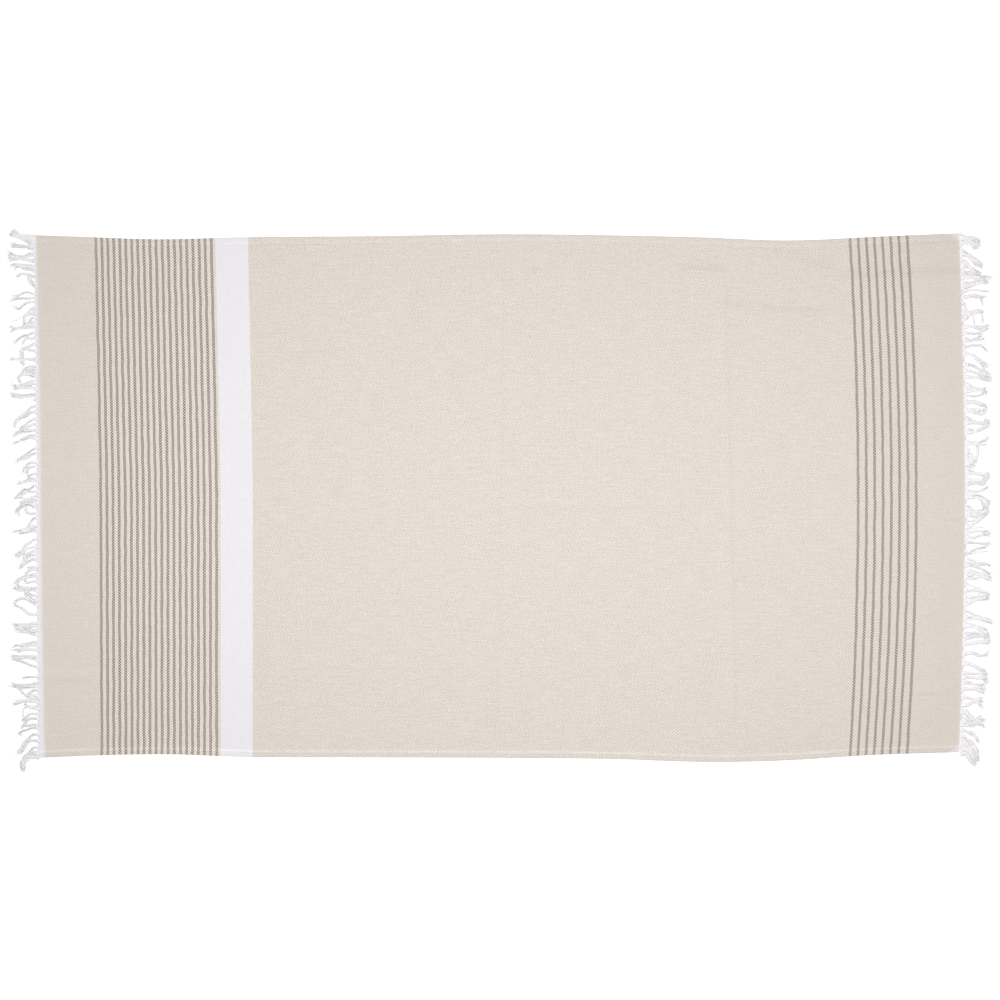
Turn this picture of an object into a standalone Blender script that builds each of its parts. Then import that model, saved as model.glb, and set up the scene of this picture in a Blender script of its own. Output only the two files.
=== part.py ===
"""Flat-woven cotton beach towel, laid open on a floor, with its loose warp ends as a fringe.

Units are metres and +Z is up. +X runs along the towel, from the end with the white
band to the end with the few wide-set stripes, and +Y runs across it. The origin lies
on the floor under the middle of the cloth. The tables hold millimetres, one row for
each bend of the outline, each crease and each bunch of the fringe.
"""

import math
from typing import NamedTuple

import bmesh
import bpy
import numpy as np

MM = 0.001

# The woven cloth
CLOTH_LENGTH = 1.800
CLOTH_WIDTH = 1.005
CLOTH_THICKNESS = 0.0012
HALF_LENGTH = CLOTH_LENGTH / 2
HALF_WIDTH = CLOTH_WIDTH / 2

# The hems along both long edges: the cloth turned over twice and sewn down
HEM_WIDTH = 0.011
HEM_THICKNESS = 0.0022
HEM_ROLL = 0.0015
HEM_STEP = 0.0020

# The grid that the cloth is laid out on, and the fold marks pressed into it
GRID_PITCH = 0.060
LEAST_PITCH = 0.024
CREASE_HALF = 0.012
CREASE_FADE = 0.040

# The fringe: a narrow strip along each end that the strands grow out of
PIECE_GAP = 0.0003
STRIP_WIDTH = 0.0030
STRIP_THICKNESS = 0.0012
STRIP_INSET = 0.0010
ROOT_WIDTH = 0.0030
STRAND_WIDTH = 0.0023
STRAND_HEIGHT = 0.0020
TIP_WIDTH = 0.0011
TIP_HEIGHT = 0.0010
WAIST_AT = 0.50
ROOT_PULL = 0.75
SHORTEST = 0.10

# Colours as linear light
BEIGE_COTTON = (0.76, 0.69, 0.62, 1.0)
WHITE_COTTON = (0.86, 0.85, 0.87, 1.0)
COTTON_ROUGHNESS = 0.92


class EdgeRow(NamedTuple):
    """Where the two long edges lie at one place along the towel.

    upper and lower say how far the edge stands out from the nominal half width.
    """

    along: float
    upper: float
    lower: float


class WeftRow(NamedTuple):
    """How one weft line bows, at one place along the towel.

    upper and lower are the shifts of its two ends along the towel, against its
    middle, and power says how late the line bends: 1 is a straight slant.
    """

    along: float
    upper: float
    lower: float
    power: float


class Crease(NamedTuple):
    """A fold mark: a soft ridge in the cloth, lifted a little off the floor."""

    runs: str
    at: float
    start: float
    stop: float
    rise: float


class Tuft(NamedTuple):
    """One bunch of the fringe.

    first and last are where its outer strands leave the cloth, waist is where the
    bunch gathers and tip where it ends, all four across the towel. reach is how far
    out it lies, and gather and spread are the pitch of its strands at waist and tip.
    """

    first: float
    last: float
    strands: int
    waist: float
    tip: float
    reach: float
    gather: float
    spread: float


LONG_EDGES = (
    EdgeRow(along=-900, upper=4, lower=2),
    EdgeRow(along=-807, upper=1, lower=-2),
    EdgeRow(along=-652, upper=-4, lower=-5),
    EdgeRow(along=-497, upper=0, lower=0),
    EdgeRow(along=-264, upper=2, lower=1),
    EdgeRow(along=7, upper=6, lower=2),
    EdgeRow(along=200, upper=4, lower=4),
    EdgeRow(along=394, upper=0, lower=10),
    EdgeRow(along=569, upper=-6, lower=6),
    EdgeRow(along=743, upper=1, lower=-4),
    EdgeRow(along=900, upper=8, lower=-9),
)

WEFT_LINES = (
    WeftRow(along=-900, upper=-5, lower=4, power=2.0),
    WeftRow(along=-775, upper=-10, lower=0, power=1.2),
    WeftRow(along=-510, upper=-10, lower=0, power=1.2),
    WeftRow(along=0, upper=7, lower=-8, power=1.0),
    WeftRow(along=435, upper=-14, lower=10, power=1.0),
    WeftRow(along=690, upper=-16, lower=-16, power=2.0),
    WeftRow(along=805, upper=-18, lower=-18, power=2.0),
    WeftRow(along=900, upper=-11, lower=-12, power=1.5),
)

CREASES = (
    Crease(runs="across", at=0, start=-455, stop=455, rise=1.6),
    Crease(runs="across", at=435, start=-330, stop=430, rise=1.2),
    Crease(runs="along", at=-18, start=30, stop=290, rise=1.6),
    Crease(runs="along", at=-206, start=-460, stop=270, rise=0.9),
    Crease(runs="along", at=274, start=-460, stop=-110, rise=0.9),
    Crease(runs="along", at=377, start=450, stop=670, rise=0.9),
)

TUFTS_LEFT = (
    Tuft(first=503, last=491, strands=3, waist=504, tip=512, reach=50, gather=3, spread=6),
    Tuft(first=485, last=479, strands=2, waist=485, tip=489, reach=54, gather=3, spread=8),
    Tuft(first=474, last=456, strands=2, waist=464, tip=466, reach=57, gather=3, spread=16),
    Tuft(first=445, last=424, strands=3, waist=438, tip=435, reach=48, gather=3, spread=8),
    Tuft(first=408, last=408, strands=1, waist=410, tip=415, reach=19, gather=3, spread=3),
    Tuft(first=396, last=391, strands=2, waist=396, tip=386, reach=52, gather=3, spread=3),
    Tuft(first=384, last=384, strands=1, waist=382, tip=376, reach=50, gather=3, spread=3),
    Tuft(first=377, last=377, strands=1, waist=366, tip=369, reach=46, gather=3, spread=3),
    Tuft(first=369, last=352, strands=3, waist=345, tip=326, reach=54, gather=3, spread=4),
    Tuft(first=322, last=322, strands=1, waist=310, tip=293, reach=46, gather=3, spread=3),
    Tuft(first=311, last=311, strands=1, waist=306, tip=296, reach=25, gather=3, spread=3),
    Tuft(first=284, last=265, strands=2, waist=273, tip=268, reach=54, gather=3, spread=3),
    Tuft(first=253, last=230, strands=3, waist=229, tip=217, reach=50, gather=3, spread=4),
    Tuft(first=200, last=193, strands=2, waist=195, tip=197, reach=52, gather=3, spread=9),
    Tuft(first=177, last=166, strands=3, waist=161, tip=145, reach=40, gather=3, spread=3),
    Tuft(first=156, last=145, strands=2, waist=141, tip=126, reach=46, gather=3, spread=11),
    Tuft(first=123, last=109, strands=2, waist=113, tip=107, reach=50, gather=4, spread=8),
    Tuft(first=98, last=86, strands=3, waist=79, tip=63, reach=42, gather=3, spread=3),
    Tuft(first=73, last=55, strands=3, waist=53, tip=27, reach=42, gather=3, spread=3),
    Tuft(first=20, last=11, strands=2, waist=9, tip=-2, reach=46, gather=3, spread=4),
    Tuft(first=-1, last=-16, strands=3, waist=-14, tip=-38, reach=41, gather=3, spread=7),
    Tuft(first=-46, last=-65, strands=3, waist=-61, tip=-69, reach=54, gather=3, spread=3),
    Tuft(first=-78, last=-121, strands=4, waist=-112, tip=-126, reach=48, gather=3, spread=8),
    Tuft(first=-135, last=-152, strands=3, waist=-155, tip=-165, reach=50, gather=3, spread=3),
    Tuft(first=-176, last=-182, strands=2, waist=-180, tip=-178, reach=57, gather=3, spread=3),
    Tuft(first=-193, last=-200, strands=2, waist=-199, tip=-206, reach=54, gather=3, spread=4),
    Tuft(first=-226, last=-226, strands=1, waist=-225, tip=-220, reach=29, gather=3, spread=3),
    Tuft(first=-245, last=-262, strands=2, waist=-252, tip=-245, reach=54, gather=3, spread=3),
    Tuft(first=-274, last=-332, strands=4, waist=-301, tip=-303, reach=57, gather=3, spread=6),
    Tuft(first=-344, last=-344, strands=1, waist=-349, tip=-355, reach=35, gather=3, spread=3),
    Tuft(first=-356, last=-362, strands=2, waist=-367, tip=-359, reach=57, gather=3, spread=3),
    Tuft(first=-374, last=-408, strands=3, waist=-388, tip=-402, reach=52, gather=3, spread=7),
    Tuft(first=-419, last=-447, strands=3, waist=-439, tip=-455, reach=38, gather=3, spread=7),
    Tuft(first=-457, last=-472, strands=3, waist=-476, tip=-495, reach=45, gather=3, spread=4),
    Tuft(first=-482, last=-500, strands=3, waist=-504, tip=-527, reach=38, gather=3, spread=4),
)

TUFTS_RIGHT = (
    Tuft(first=506, last=490, strands=3, waist=497, tip=482, reach=45, gather=3, spread=7),
    Tuft(first=481, last=481, strands=1, waist=468, tip=446, reach=44, gather=3, spread=3),
    Tuft(first=472, last=405, strands=5, waist=433, tip=419, reach=51, gather=3, spread=3),
    Tuft(first=396, last=396, strands=1, waist=398, tip=398, reach=54, gather=3, spread=3),
    Tuft(first=383, last=383, strands=1, waist=387, tip=385, reach=43, gather=3, spread=3),
    Tuft(first=356, last=346, strands=2, waist=358, tip=360, reach=36, gather=3, spread=5),
    Tuft(first=330, last=315, strands=2, waist=323, tip=330, reach=47, gather=3, spread=3),
    Tuft(first=301, last=301, strands=1, waist=306, tip=309, reach=41, gather=3, spread=3),
    Tuft(first=291, last=291, strands=1, waist=290, tip=279, reach=43, gather=3, spread=3),
    Tuft(first=280, last=274, strands=2, waist=271, tip=251, reach=51, gather=3, spread=5),
    Tuft(first=257, last=226, strands=3, waist=235, tip=226, reach=53, gather=3, spread=3),
    Tuft(first=214, last=197, strands=2, waist=203, tip=206, reach=43, gather=3, spread=3),
    Tuft(first=181, last=162, strands=3, waist=168, tip=167, reach=39, gather=3, spread=4),
    Tuft(first=154, last=125, strands=3, waist=139, tip=146, reach=47, gather=3, spread=3),
    Tuft(first=107, last=101, strands=2, waist=106, tip=117, reach=46, gather=3, spread=3),
    Tuft(first=92, last=92, strands=1, waist=85, tip=96, reach=38, gather=3, spread=3),
    Tuft(first=57, last=57, strands=1, waist=58, tip=60, reach=15, gather=3, spread=3),
    Tuft(first=49, last=24, strands=3, waist=38, tip=41, reach=48, gather=3, spread=3),
    Tuft(first=13, last=7, strands=2, waist=11, tip=18, reach=46, gather=3, spread=3),
    Tuft(first=0, last=-15, strands=2, waist=-6, tip=-11, reach=48, gather=3, spread=4),
    Tuft(first=-34, last=-59, strands=3, waist=-38, tip=-28, reach=48, gather=3, spread=4),
    Tuft(first=-67, last=-75, strands=2, waist=-70, tip=-71, reach=47, gather=3, spread=6),
    Tuft(first=-89, last=-111, strands=2, waist=-98, tip=-93, reach=47, gather=3, spread=3),
    Tuft(first=-121, last=-160, strands=4, waist=-144, tip=-151, reach=51, gather=3, spread=7),
    Tuft(first=-171, last=-213, strands=4, waist=-192, tip=-195, reach=48, gather=3, spread=3),
    Tuft(first=-224, last=-232, strands=2, waist=-231, tip=-240, reach=52, gather=3, spread=4),
    Tuft(first=-243, last=-282, strands=4, waist=-265, tip=-275, reach=50, gather=3, spread=6),
    Tuft(first=-303, last=-303, strands=1, waist=-309, tip=-300, reach=43, gather=3, spread=3),
    Tuft(first=-316, last=-372, strands=5, waist=-343, tip=-358, reach=49, gather=9, spread=9),
    Tuft(first=-387, last=-402, strands=2, waist=-394, tip=-397, reach=42, gather=3, spread=18),
    Tuft(first=-411, last=-439, strands=3, waist=-432, tip=-430, reach=46, gather=3, spread=4),
    Tuft(first=-449, last=-449, strands=1, waist=-461, tip=-477, reach=36, gather=3, spread=3),
    Tuft(first=-459, last=-459, strands=1, waist=-473, tip=-494, reach=38, gather=3, spread=3),
    Tuft(first=-470, last=-488, strands=3, waist=-491, tip=-513, reach=45, gather=3, spread=5),
)


def clear_scene():
    """Take every object out of the scene."""
    for old in list(bpy.data.objects):
        bpy.data.objects.remove(old, do_unlink=True)


def cotton(name, colour):
    """A dull woven-cotton material."""
    material = bpy.data.materials.new(name)
    material.use_nodes = True
    shader = material.node_tree.nodes["Principled BSDF"]
    shader.inputs["Base Color"].default_value = colour
    shader.inputs["Roughness"].default_value = COTTON_ROUGHNESS
    shader.inputs["Metallic"].default_value = 0.0
    return material


def smooth_read(rows, column, place):
    """Read one column of a table at a place along the towel, on a smooth curve."""
    places = np.array([row.along for row in rows]) * MM
    values = np.array([getattr(row, column) for row in rows], dtype=float)
    slopes = np.gradient(values, places)
    i = int(np.clip(np.searchsorted(places, place) - 1, 0, len(places) - 2))
    span = places[i + 1] - places[i]
    t = min(max((place - places[i]) / span, 0.0), 1.0)
    return (
        (2 * t**3 - 3 * t**2 + 1) * values[i]
        + (t**3 - 2 * t**2 + t) * span * slopes[i]
        + (3 * t**2 - 2 * t**3) * values[i + 1]
        + (t**3 - t**2) * span * slopes[i + 1]
    )


def weft_shift(x, y):
    """How far the weft line through x is carried along the towel at y."""
    end = smooth_read(WEFT_LINES, "upper" if y > 0 else "lower", x) * MM
    power = smooth_read(WEFT_LINES, "power", x)
    return end * abs(y / HALF_WIDTH) ** power


def edge_shift(x, y):
    """How far the warp line through y is carried outwards at x."""
    if y > 0:
        return smooth_read(LONG_EDGES, "upper", x) * MM * y / HALF_WIDTH
    return smooth_read(LONG_EDGES, "lower", x) * MM * y / HALF_WIDTH


def crease_rise(crease, x, y):
    """Height that one crease lifts the cloth at (x, y)."""
    across, along = (x, y) if crease.runs == "across" else (y, x)
    side = 1 - abs(across - crease.at * MM) / CREASE_HALF
    from_end = min(along - crease.start * MM, crease.stop * MM - along) / CREASE_FADE
    return crease.rise * MM * max(side, 0.0) * min(max(from_end, 0.0), 1.0)


def cloth_thickness(y):
    """Thickness of the cloth at y: thicker in the hems, with a rolled outer edge."""
    depths = (0.0, HEM_ROLL, HEM_WIDTH, HEM_WIDTH + HEM_STEP)
    heights = (CLOTH_THICKNESS, HEM_THICKNESS, HEM_THICKNESS, CLOTH_THICKNESS)
    return float(np.interp(HALF_WIDTH - abs(y), depths, heights))


def cloth_point(x, y):
    """Place of the cloth's grid point (x, y) on the floor plan."""
    return x + weft_shift(x, y), y + edge_shift(x, y)


def grid_lines(half, fixed):
    """Even grid lines from -half to half, with fixed ones put in and close ones left out."""
    steps = round(2 * half / GRID_PITCH)
    even = [-half + 2 * half * i / steps for i in range(1, steps)]
    free = [line for line in even if all(abs(line - other) > LEAST_PITCH for other in fixed)]
    return sorted([-half, half, *fixed, *free])


def crease_lines(runs):
    """Grid lines at the foot, crest and foot of each crease that runs this way."""
    crests = [crease.at * MM for crease in CREASES if crease.runs == runs]
    return [crest + side * CREASE_HALF for crest in crests for side in (-1, 0, 1)]


def hem_lines():
    """Grid lines that shape the two hems."""
    depths = (HEM_ROLL, HEM_WIDTH, HEM_WIDTH + HEM_STEP)
    return [side * (HALF_WIDTH - depth) for depth in depths for side in (-1, 1)]


COLUMNS = grid_lines(HALF_LENGTH, crease_lines("across"))
ROWS = grid_lines(HALF_WIDTH, crease_lines("along") + hem_lines())


def add_object(name, mesh, material):
    """Turn a bmesh into a named object with its faces outwards."""
    bmesh.ops.recalc_face_normals(mesh, faces=mesh.faces)
    data = bpy.data.meshes.new(name)
    mesh.to_mesh(data)
    mesh.free()
    data.materials.append(material)
    data.shade_smooth()
    data.set_sharp_from_angle(angle=math.radians(35))
    made = bpy.data.objects.new(name, data)
    bpy.context.scene.collection.objects.link(made)
    return made


def skin_between(mesh, near, far):
    """Join two like lists of vertices with a band of quads."""
    for i in range(len(near) - 1):
        mesh.faces.new((near[i], near[i + 1], far[i + 1], far[i]))


def build_cloth(material):
    """The woven cloth with its two hems: an upper and an under skin, closed round the rim."""
    mesh = bmesh.new()
    top, under = [], []
    for x in COLUMNS:
        top.append([])
        under.append([])
        for y in ROWS:
            lift = sum(crease_rise(crease, x, y) for crease in CREASES)
            place = cloth_point(x, y)
            top[-1].append(mesh.verts.new((*place, lift + cloth_thickness(y))))
            under[-1].append(mesh.verts.new((*place, lift)))
    for i in range(len(COLUMNS) - 1):
        skin_between(mesh, top[i], top[i + 1])
        skin_between(mesh, under[i], under[i + 1])
    for i in (0, -1):
        skin_between(mesh, top[i], under[i])
        skin_between(mesh, [line[i] for line in top], [line[i] for line in under])
    return add_object("cloth", mesh, material)


def end_line(side):
    """The cloth's end as it is meshed: its corners' places across and along, from -Y to +Y."""
    points = [cloth_point(side * HALF_LENGTH, y) for y in ROWS]
    return [p[1] for p in points], [p[0] for p in points]


def end_at(side, y, out=0.0):
    """Place along the towel of the point that lies `out` beyond the cloth's end, at y."""
    return float(np.interp(y, *end_line(side))) + side * out


def hermite(start, start_way, stop, stop_way, t):
    """Point and direction at t on the smooth curve between two points with given ways."""
    point = (
        (2 * t**3 - 3 * t**2 + 1) * start
        + (t**3 - 2 * t**2 + t) * start_way
        + (3 * t**2 - 2 * t**3) * stop
        + (t**3 - t**2) * stop_way
    )
    way = (
        (6 * t**2 - 6 * t) * start
        + (3 * t**2 - 4 * t + 1) * start_way
        + (6 * t - 6 * t**2) * stop
        + (3 * t**2 - 2 * t) * stop_way
    )
    return point, way / np.linalg.norm(way)


def upward(way):
    """Unit vector square to a way in the floor plan, turned towards +Y."""
    normal = np.array((-way[1], way[0])) / np.linalg.norm(way)
    return normal if normal[1] > 0 else -normal


def strand_roots(tuft):
    """Where across the towel each strand of a tuft leaves the cloth."""
    return [float(y) * MM for y in np.linspace(tuft.first, tuft.last, tuft.strands)]


def strand_path(side, tuft, index):
    """Points and ways of one strand's middle line, from just past its root to its tip."""
    reach = tuft.reach * MM
    middle = (tuft.first + tuft.last) / 2 * MM
    base = end_at(side, middle)
    root_y = strand_roots(tuft)[index]
    root_out = PIECE_GAP + STRIP_WIDTH
    root = np.array((end_at(side, root_y, root_out), root_y))
    waist = np.array((base + side * reach * WAIST_AT, tuft.waist * MM))
    tip = np.array((base + side * reach, tuft.tip * MM))
    heart = np.array((base, middle))
    run = (tip - heart) / 2
    place = (tuft.strands - 1) / 2 - index
    root_way = np.array((side * reach * WAIST_AT * ROOT_PULL, 0.0))
    waist_point = waist + upward(run) * place * tuft.gather * MM
    tip_way = tip - waist
    shorter = 1 - SHORTEST * ((index * 2 + tuft.strands) % 3) / 2
    tip_point = waist + tip_way * shorter + upward(tip_way) * place * tuft.spread * MM
    path = [hermite(root, root_way, waist_point, run, t) for t in (0.5, 1.0)]
    path += [hermite(waist_point, run, tip_point, tip_way, t) for t in (0.5, 1.0)]
    return path


def strand_rings(side, tuft, index):
    """Four-cornered cross sections of one strand, flat on the floor, from root to tip."""
    widths = (STRAND_WIDTH, STRAND_WIDTH, STRAND_WIDTH, TIP_WIDTH)
    heights = (STRAND_HEIGHT, STRAND_HEIGHT, STRAND_HEIGHT, TIP_HEIGHT)
    rings = []
    for (point, way), width, height in zip(strand_path(side, tuft, index), widths, heights):
        half = upward(way) * width / 2
        low, high = point - half, point + half
        rings.append(((*low, 0.0), (*high, 0.0), (*high, height), (*low, height)))
    return rings


def strip_cut(mesh, side, y):
    """The strip's cross section at y: outer low, outer high, inner high, inner low."""
    inner, outer = end_at(side, y, PIECE_GAP), end_at(side, y, PIECE_GAP + STRIP_WIDTH)
    corners = ((outer, 0.0), (outer, STRIP_THICKNESS), (inner, STRIP_THICKNESS), (inner, 0.0))
    return [mesh.verts.new((x, y, z)) for x, z in corners]


def grow_strand(mesh, low_cut, high_cut, rings):
    """Grow one strand out of the strip, between two of its cuts, ring by ring."""
    ring = [low_cut[0], high_cut[0], high_cut[1], low_cut[1]]
    for corners in rings:
        following = [mesh.verts.new(corner) for corner in corners]
        skin_between(mesh, ring + ring[:1], following + following[:1])
        ring = following
    mesh.faces.new(ring)


def build_fringe(name, side, tufts, material):
    """One end's fringe: a narrow strip beside the cloth with every strand grown out of it."""
    strands = [
        (root, strand_rings(side, tuft, index))
        for tuft in tufts
        for index, root in enumerate(strand_roots(tuft))
    ]
    strands.sort(key=lambda strand: strand[0])
    mesh = bmesh.new()
    across = end_line(side)[0]
    cuts = [strip_cut(mesh, side, across[0] + STRIP_INSET)]
    mesh.faces.new(cuts[0])
    for root, rings in strands:
        low_cut = strip_cut(mesh, side, root - ROOT_WIDTH / 2)
        high_cut = strip_cut(mesh, side, root + ROOT_WIDTH / 2)
        skin_between(mesh, cuts[-1] + cuts[-1][:1], low_cut + low_cut[:1])
        skin_between(mesh, low_cut[1:] + low_cut[:1], high_cut[1:] + high_cut[:1])
        grow_strand(mesh, low_cut, high_cut, rings)
        cuts += [low_cut, high_cut]
    last = strip_cut(mesh, side, across[-1] - STRIP_INSET)
    skin_between(mesh, cuts[-1] + cuts[-1][:1], last + last[:1])
    mesh.faces.new(last)
    return add_object(name, mesh, material)


def main():
    """Build the towel: the cloth and the fringe at each end."""
    clear_scene()
    build_cloth(cotton("woven_cotton", BEIGE_COTTON))
    yarn = cotton("cotton_yarn", WHITE_COTTON)
    build_fringe("fringe_left", -1, TUFTS_LEFT, yarn)
    build_fringe("fringe_right", 1, TUFTS_RIGHT, yarn)


main()
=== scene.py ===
"""Looks of a flat-woven cotton beach towel that lies open on a pale floor.

Units are metres and +Z is up, as in the frame: +X runs along the towel, from the end with
the white band to the end with the few wide-set stripes, and +Y runs across it. A woven
place (u, v) is where a point would lie if the cloth were dead straight: u counts along the
towel from its middle and v across it. The tables hold millimetres.
"""

import logging
import math
from dataclasses import dataclass
from enum import Enum
from functools import partialmethod
from typing import Any, NamedTuple, Optional, Sequence

import bpy
import numpy as np
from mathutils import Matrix, Vector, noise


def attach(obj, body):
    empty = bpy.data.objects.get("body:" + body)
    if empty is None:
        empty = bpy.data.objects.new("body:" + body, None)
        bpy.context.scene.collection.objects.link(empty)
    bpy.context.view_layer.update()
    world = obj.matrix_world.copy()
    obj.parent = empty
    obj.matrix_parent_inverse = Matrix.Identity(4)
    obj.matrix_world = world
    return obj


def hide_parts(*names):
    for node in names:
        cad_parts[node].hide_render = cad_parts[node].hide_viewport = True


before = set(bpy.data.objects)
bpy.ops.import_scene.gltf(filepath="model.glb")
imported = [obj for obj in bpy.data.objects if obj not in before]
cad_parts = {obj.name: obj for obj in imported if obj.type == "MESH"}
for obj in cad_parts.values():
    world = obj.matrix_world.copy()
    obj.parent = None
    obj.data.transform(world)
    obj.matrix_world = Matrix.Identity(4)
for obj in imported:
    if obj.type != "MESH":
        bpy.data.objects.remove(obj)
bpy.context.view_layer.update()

BODY = "root"
MM = 0.001
WHITE = (1.0, 1.0, 1.0, 1.0)

log = logging.getLogger("beach_towel")


class Side(Enum):
    """The two ends of the towel, by the way each one points along X."""

    LEFT = -1
    RIGHT = 1


class Runs(Enum):
    """The way that a fold mark runs."""

    ACROSS = "across"
    ALONG = "along"


class Slot(Enum):
    """The record's material slots."""

    CLOTH = "woven_cotton"
    YARN = "fringe_yarn"


class EdgeRow(NamedTuple):
    """How far the two long edges stand out from the nominal half width, at one place."""

    along: float
    upper: float
    lower: float


class WeftRow(NamedTuple):
    """How one weft line bows: the shifts of its two ends, and how late it bends."""

    along: float
    upper: float
    lower: float
    power: float


class Crease(NamedTuple):
    """A fold mark: where it runs, how high it lifts the cloth, and how much shade is painted on it.

    Its steep flank, half wide, is the one that faces right or down in the photograph. The
    slant is how far the mark moves sideways in each millimetre that it runs.
    """

    runs: Runs
    at: float
    start: float
    stop: float
    half: float
    rise: float
    dull: float = 0.0
    slant: float = 0.0


class Strand(NamedTuple):
    """A bunch of warp ends: yarns, splay of its tip, its root across, and its bends.

    A bend is the distance beyond the straight end line, and the place across.
    """

    yarns: int
    splay: float
    root: float
    bends: tuple


def strands(*rows: tuple) -> tuple[Strand, ...]:
    """Strands from plain rows: yarns, splay, root, then the two numbers of each bend in turn."""
    return tuple(Strand(*row[:3], tuple(zip(row[3::2], row[4::2]))) for row in rows)


LONG_EDGES = (
    EdgeRow(along=-900, upper=4, lower=2),
    EdgeRow(along=-807, upper=1, lower=-2),
    EdgeRow(along=-652, upper=-4, lower=-5),
    EdgeRow(along=-497, upper=0, lower=0),
    EdgeRow(along=-264, upper=2, lower=1),
    EdgeRow(along=7, upper=6, lower=2),
    EdgeRow(along=200, upper=4, lower=4),
    EdgeRow(along=394, upper=0, lower=10),
    EdgeRow(along=569, upper=-6, lower=6),
    EdgeRow(along=743, upper=1, lower=-4),
    EdgeRow(along=900, upper=8, lower=-9),
)

WEFT_LINES = (
    WeftRow(along=-900, upper=-5, lower=4, power=2.0),
    WeftRow(along=-775, upper=-10, lower=2, power=1.2),
    WeftRow(along=-510, upper=-10, lower=0, power=1.2),
    WeftRow(along=0, upper=7, lower=-8, power=1.0),
    WeftRow(along=435, upper=-14, lower=10, power=1.0),
    WeftRow(along=690, upper=-16, lower=-16, power=2.0),
    WeftRow(along=805, upper=-18, lower=-18, power=2.0),
    WeftRow(along=900, upper=-11, lower=-12, power=1.5),
)

CREASES = (
    Crease(Runs.ACROSS, at=-6, start=-455, stop=455, half=8, rise=1.1),
    Crease(Runs.ACROSS, at=441, start=-440, stop=440, half=8, rise=1.0),
    Crease(Runs.ALONG, at=486, start=790, stop=905, half=7, rise=0.2, dull=0.030),
    Crease(Runs.ALONG, at=482, start=515, stop=600, half=9, rise=0.3, dull=0.035),
    Crease(Runs.ALONG, at=478, start=565, stop=680, half=9, rise=0.3, dull=0.040, slant=-0.42),
    Crease(Runs.ALONG, at=442, start=340, stop=465, half=6, rise=0.2, dull=0.060),
    Crease(Runs.ALONG, at=429, start=650, stop=925, half=9, rise=0.3, dull=0.042),
    Crease(Runs.ALONG, at=375, start=420, stop=660, half=8, rise=0.2, dull=0.038, slant=-0.07),
    Crease(Runs.ALONG, at=278, start=-434, stop=-300, half=5, rise=0.0, dull=0.022),
    Crease(Runs.ALONG, at=2, start=445, stop=570, half=8, rise=0.4),
    Crease(Runs.ALONG, at=-17, start=-5, stop=295, half=7, rise=1.1),
    Crease(Runs.ALONG, at=-197, start=-440, stop=-50, half=9, rise=0.4),
    Crease(Runs.ALONG, at=-327, start=-440, stop=-50, half=10, rise=0.4),
    Crease(Runs.ALONG, at=-350, start=-905, stop=-770, half=10, rise=1.1),
    Crease(Runs.ALONG, at=-382, start=780, stop=905, half=9, rise=0.7),
    Crease(Runs.ALONG, at=-400, start=-500, stop=-325, half=6, rise=0.25),
    Crease(Runs.ALONG, at=-400, start=-240, stop=-90, half=6, rise=0.2),
)


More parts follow.
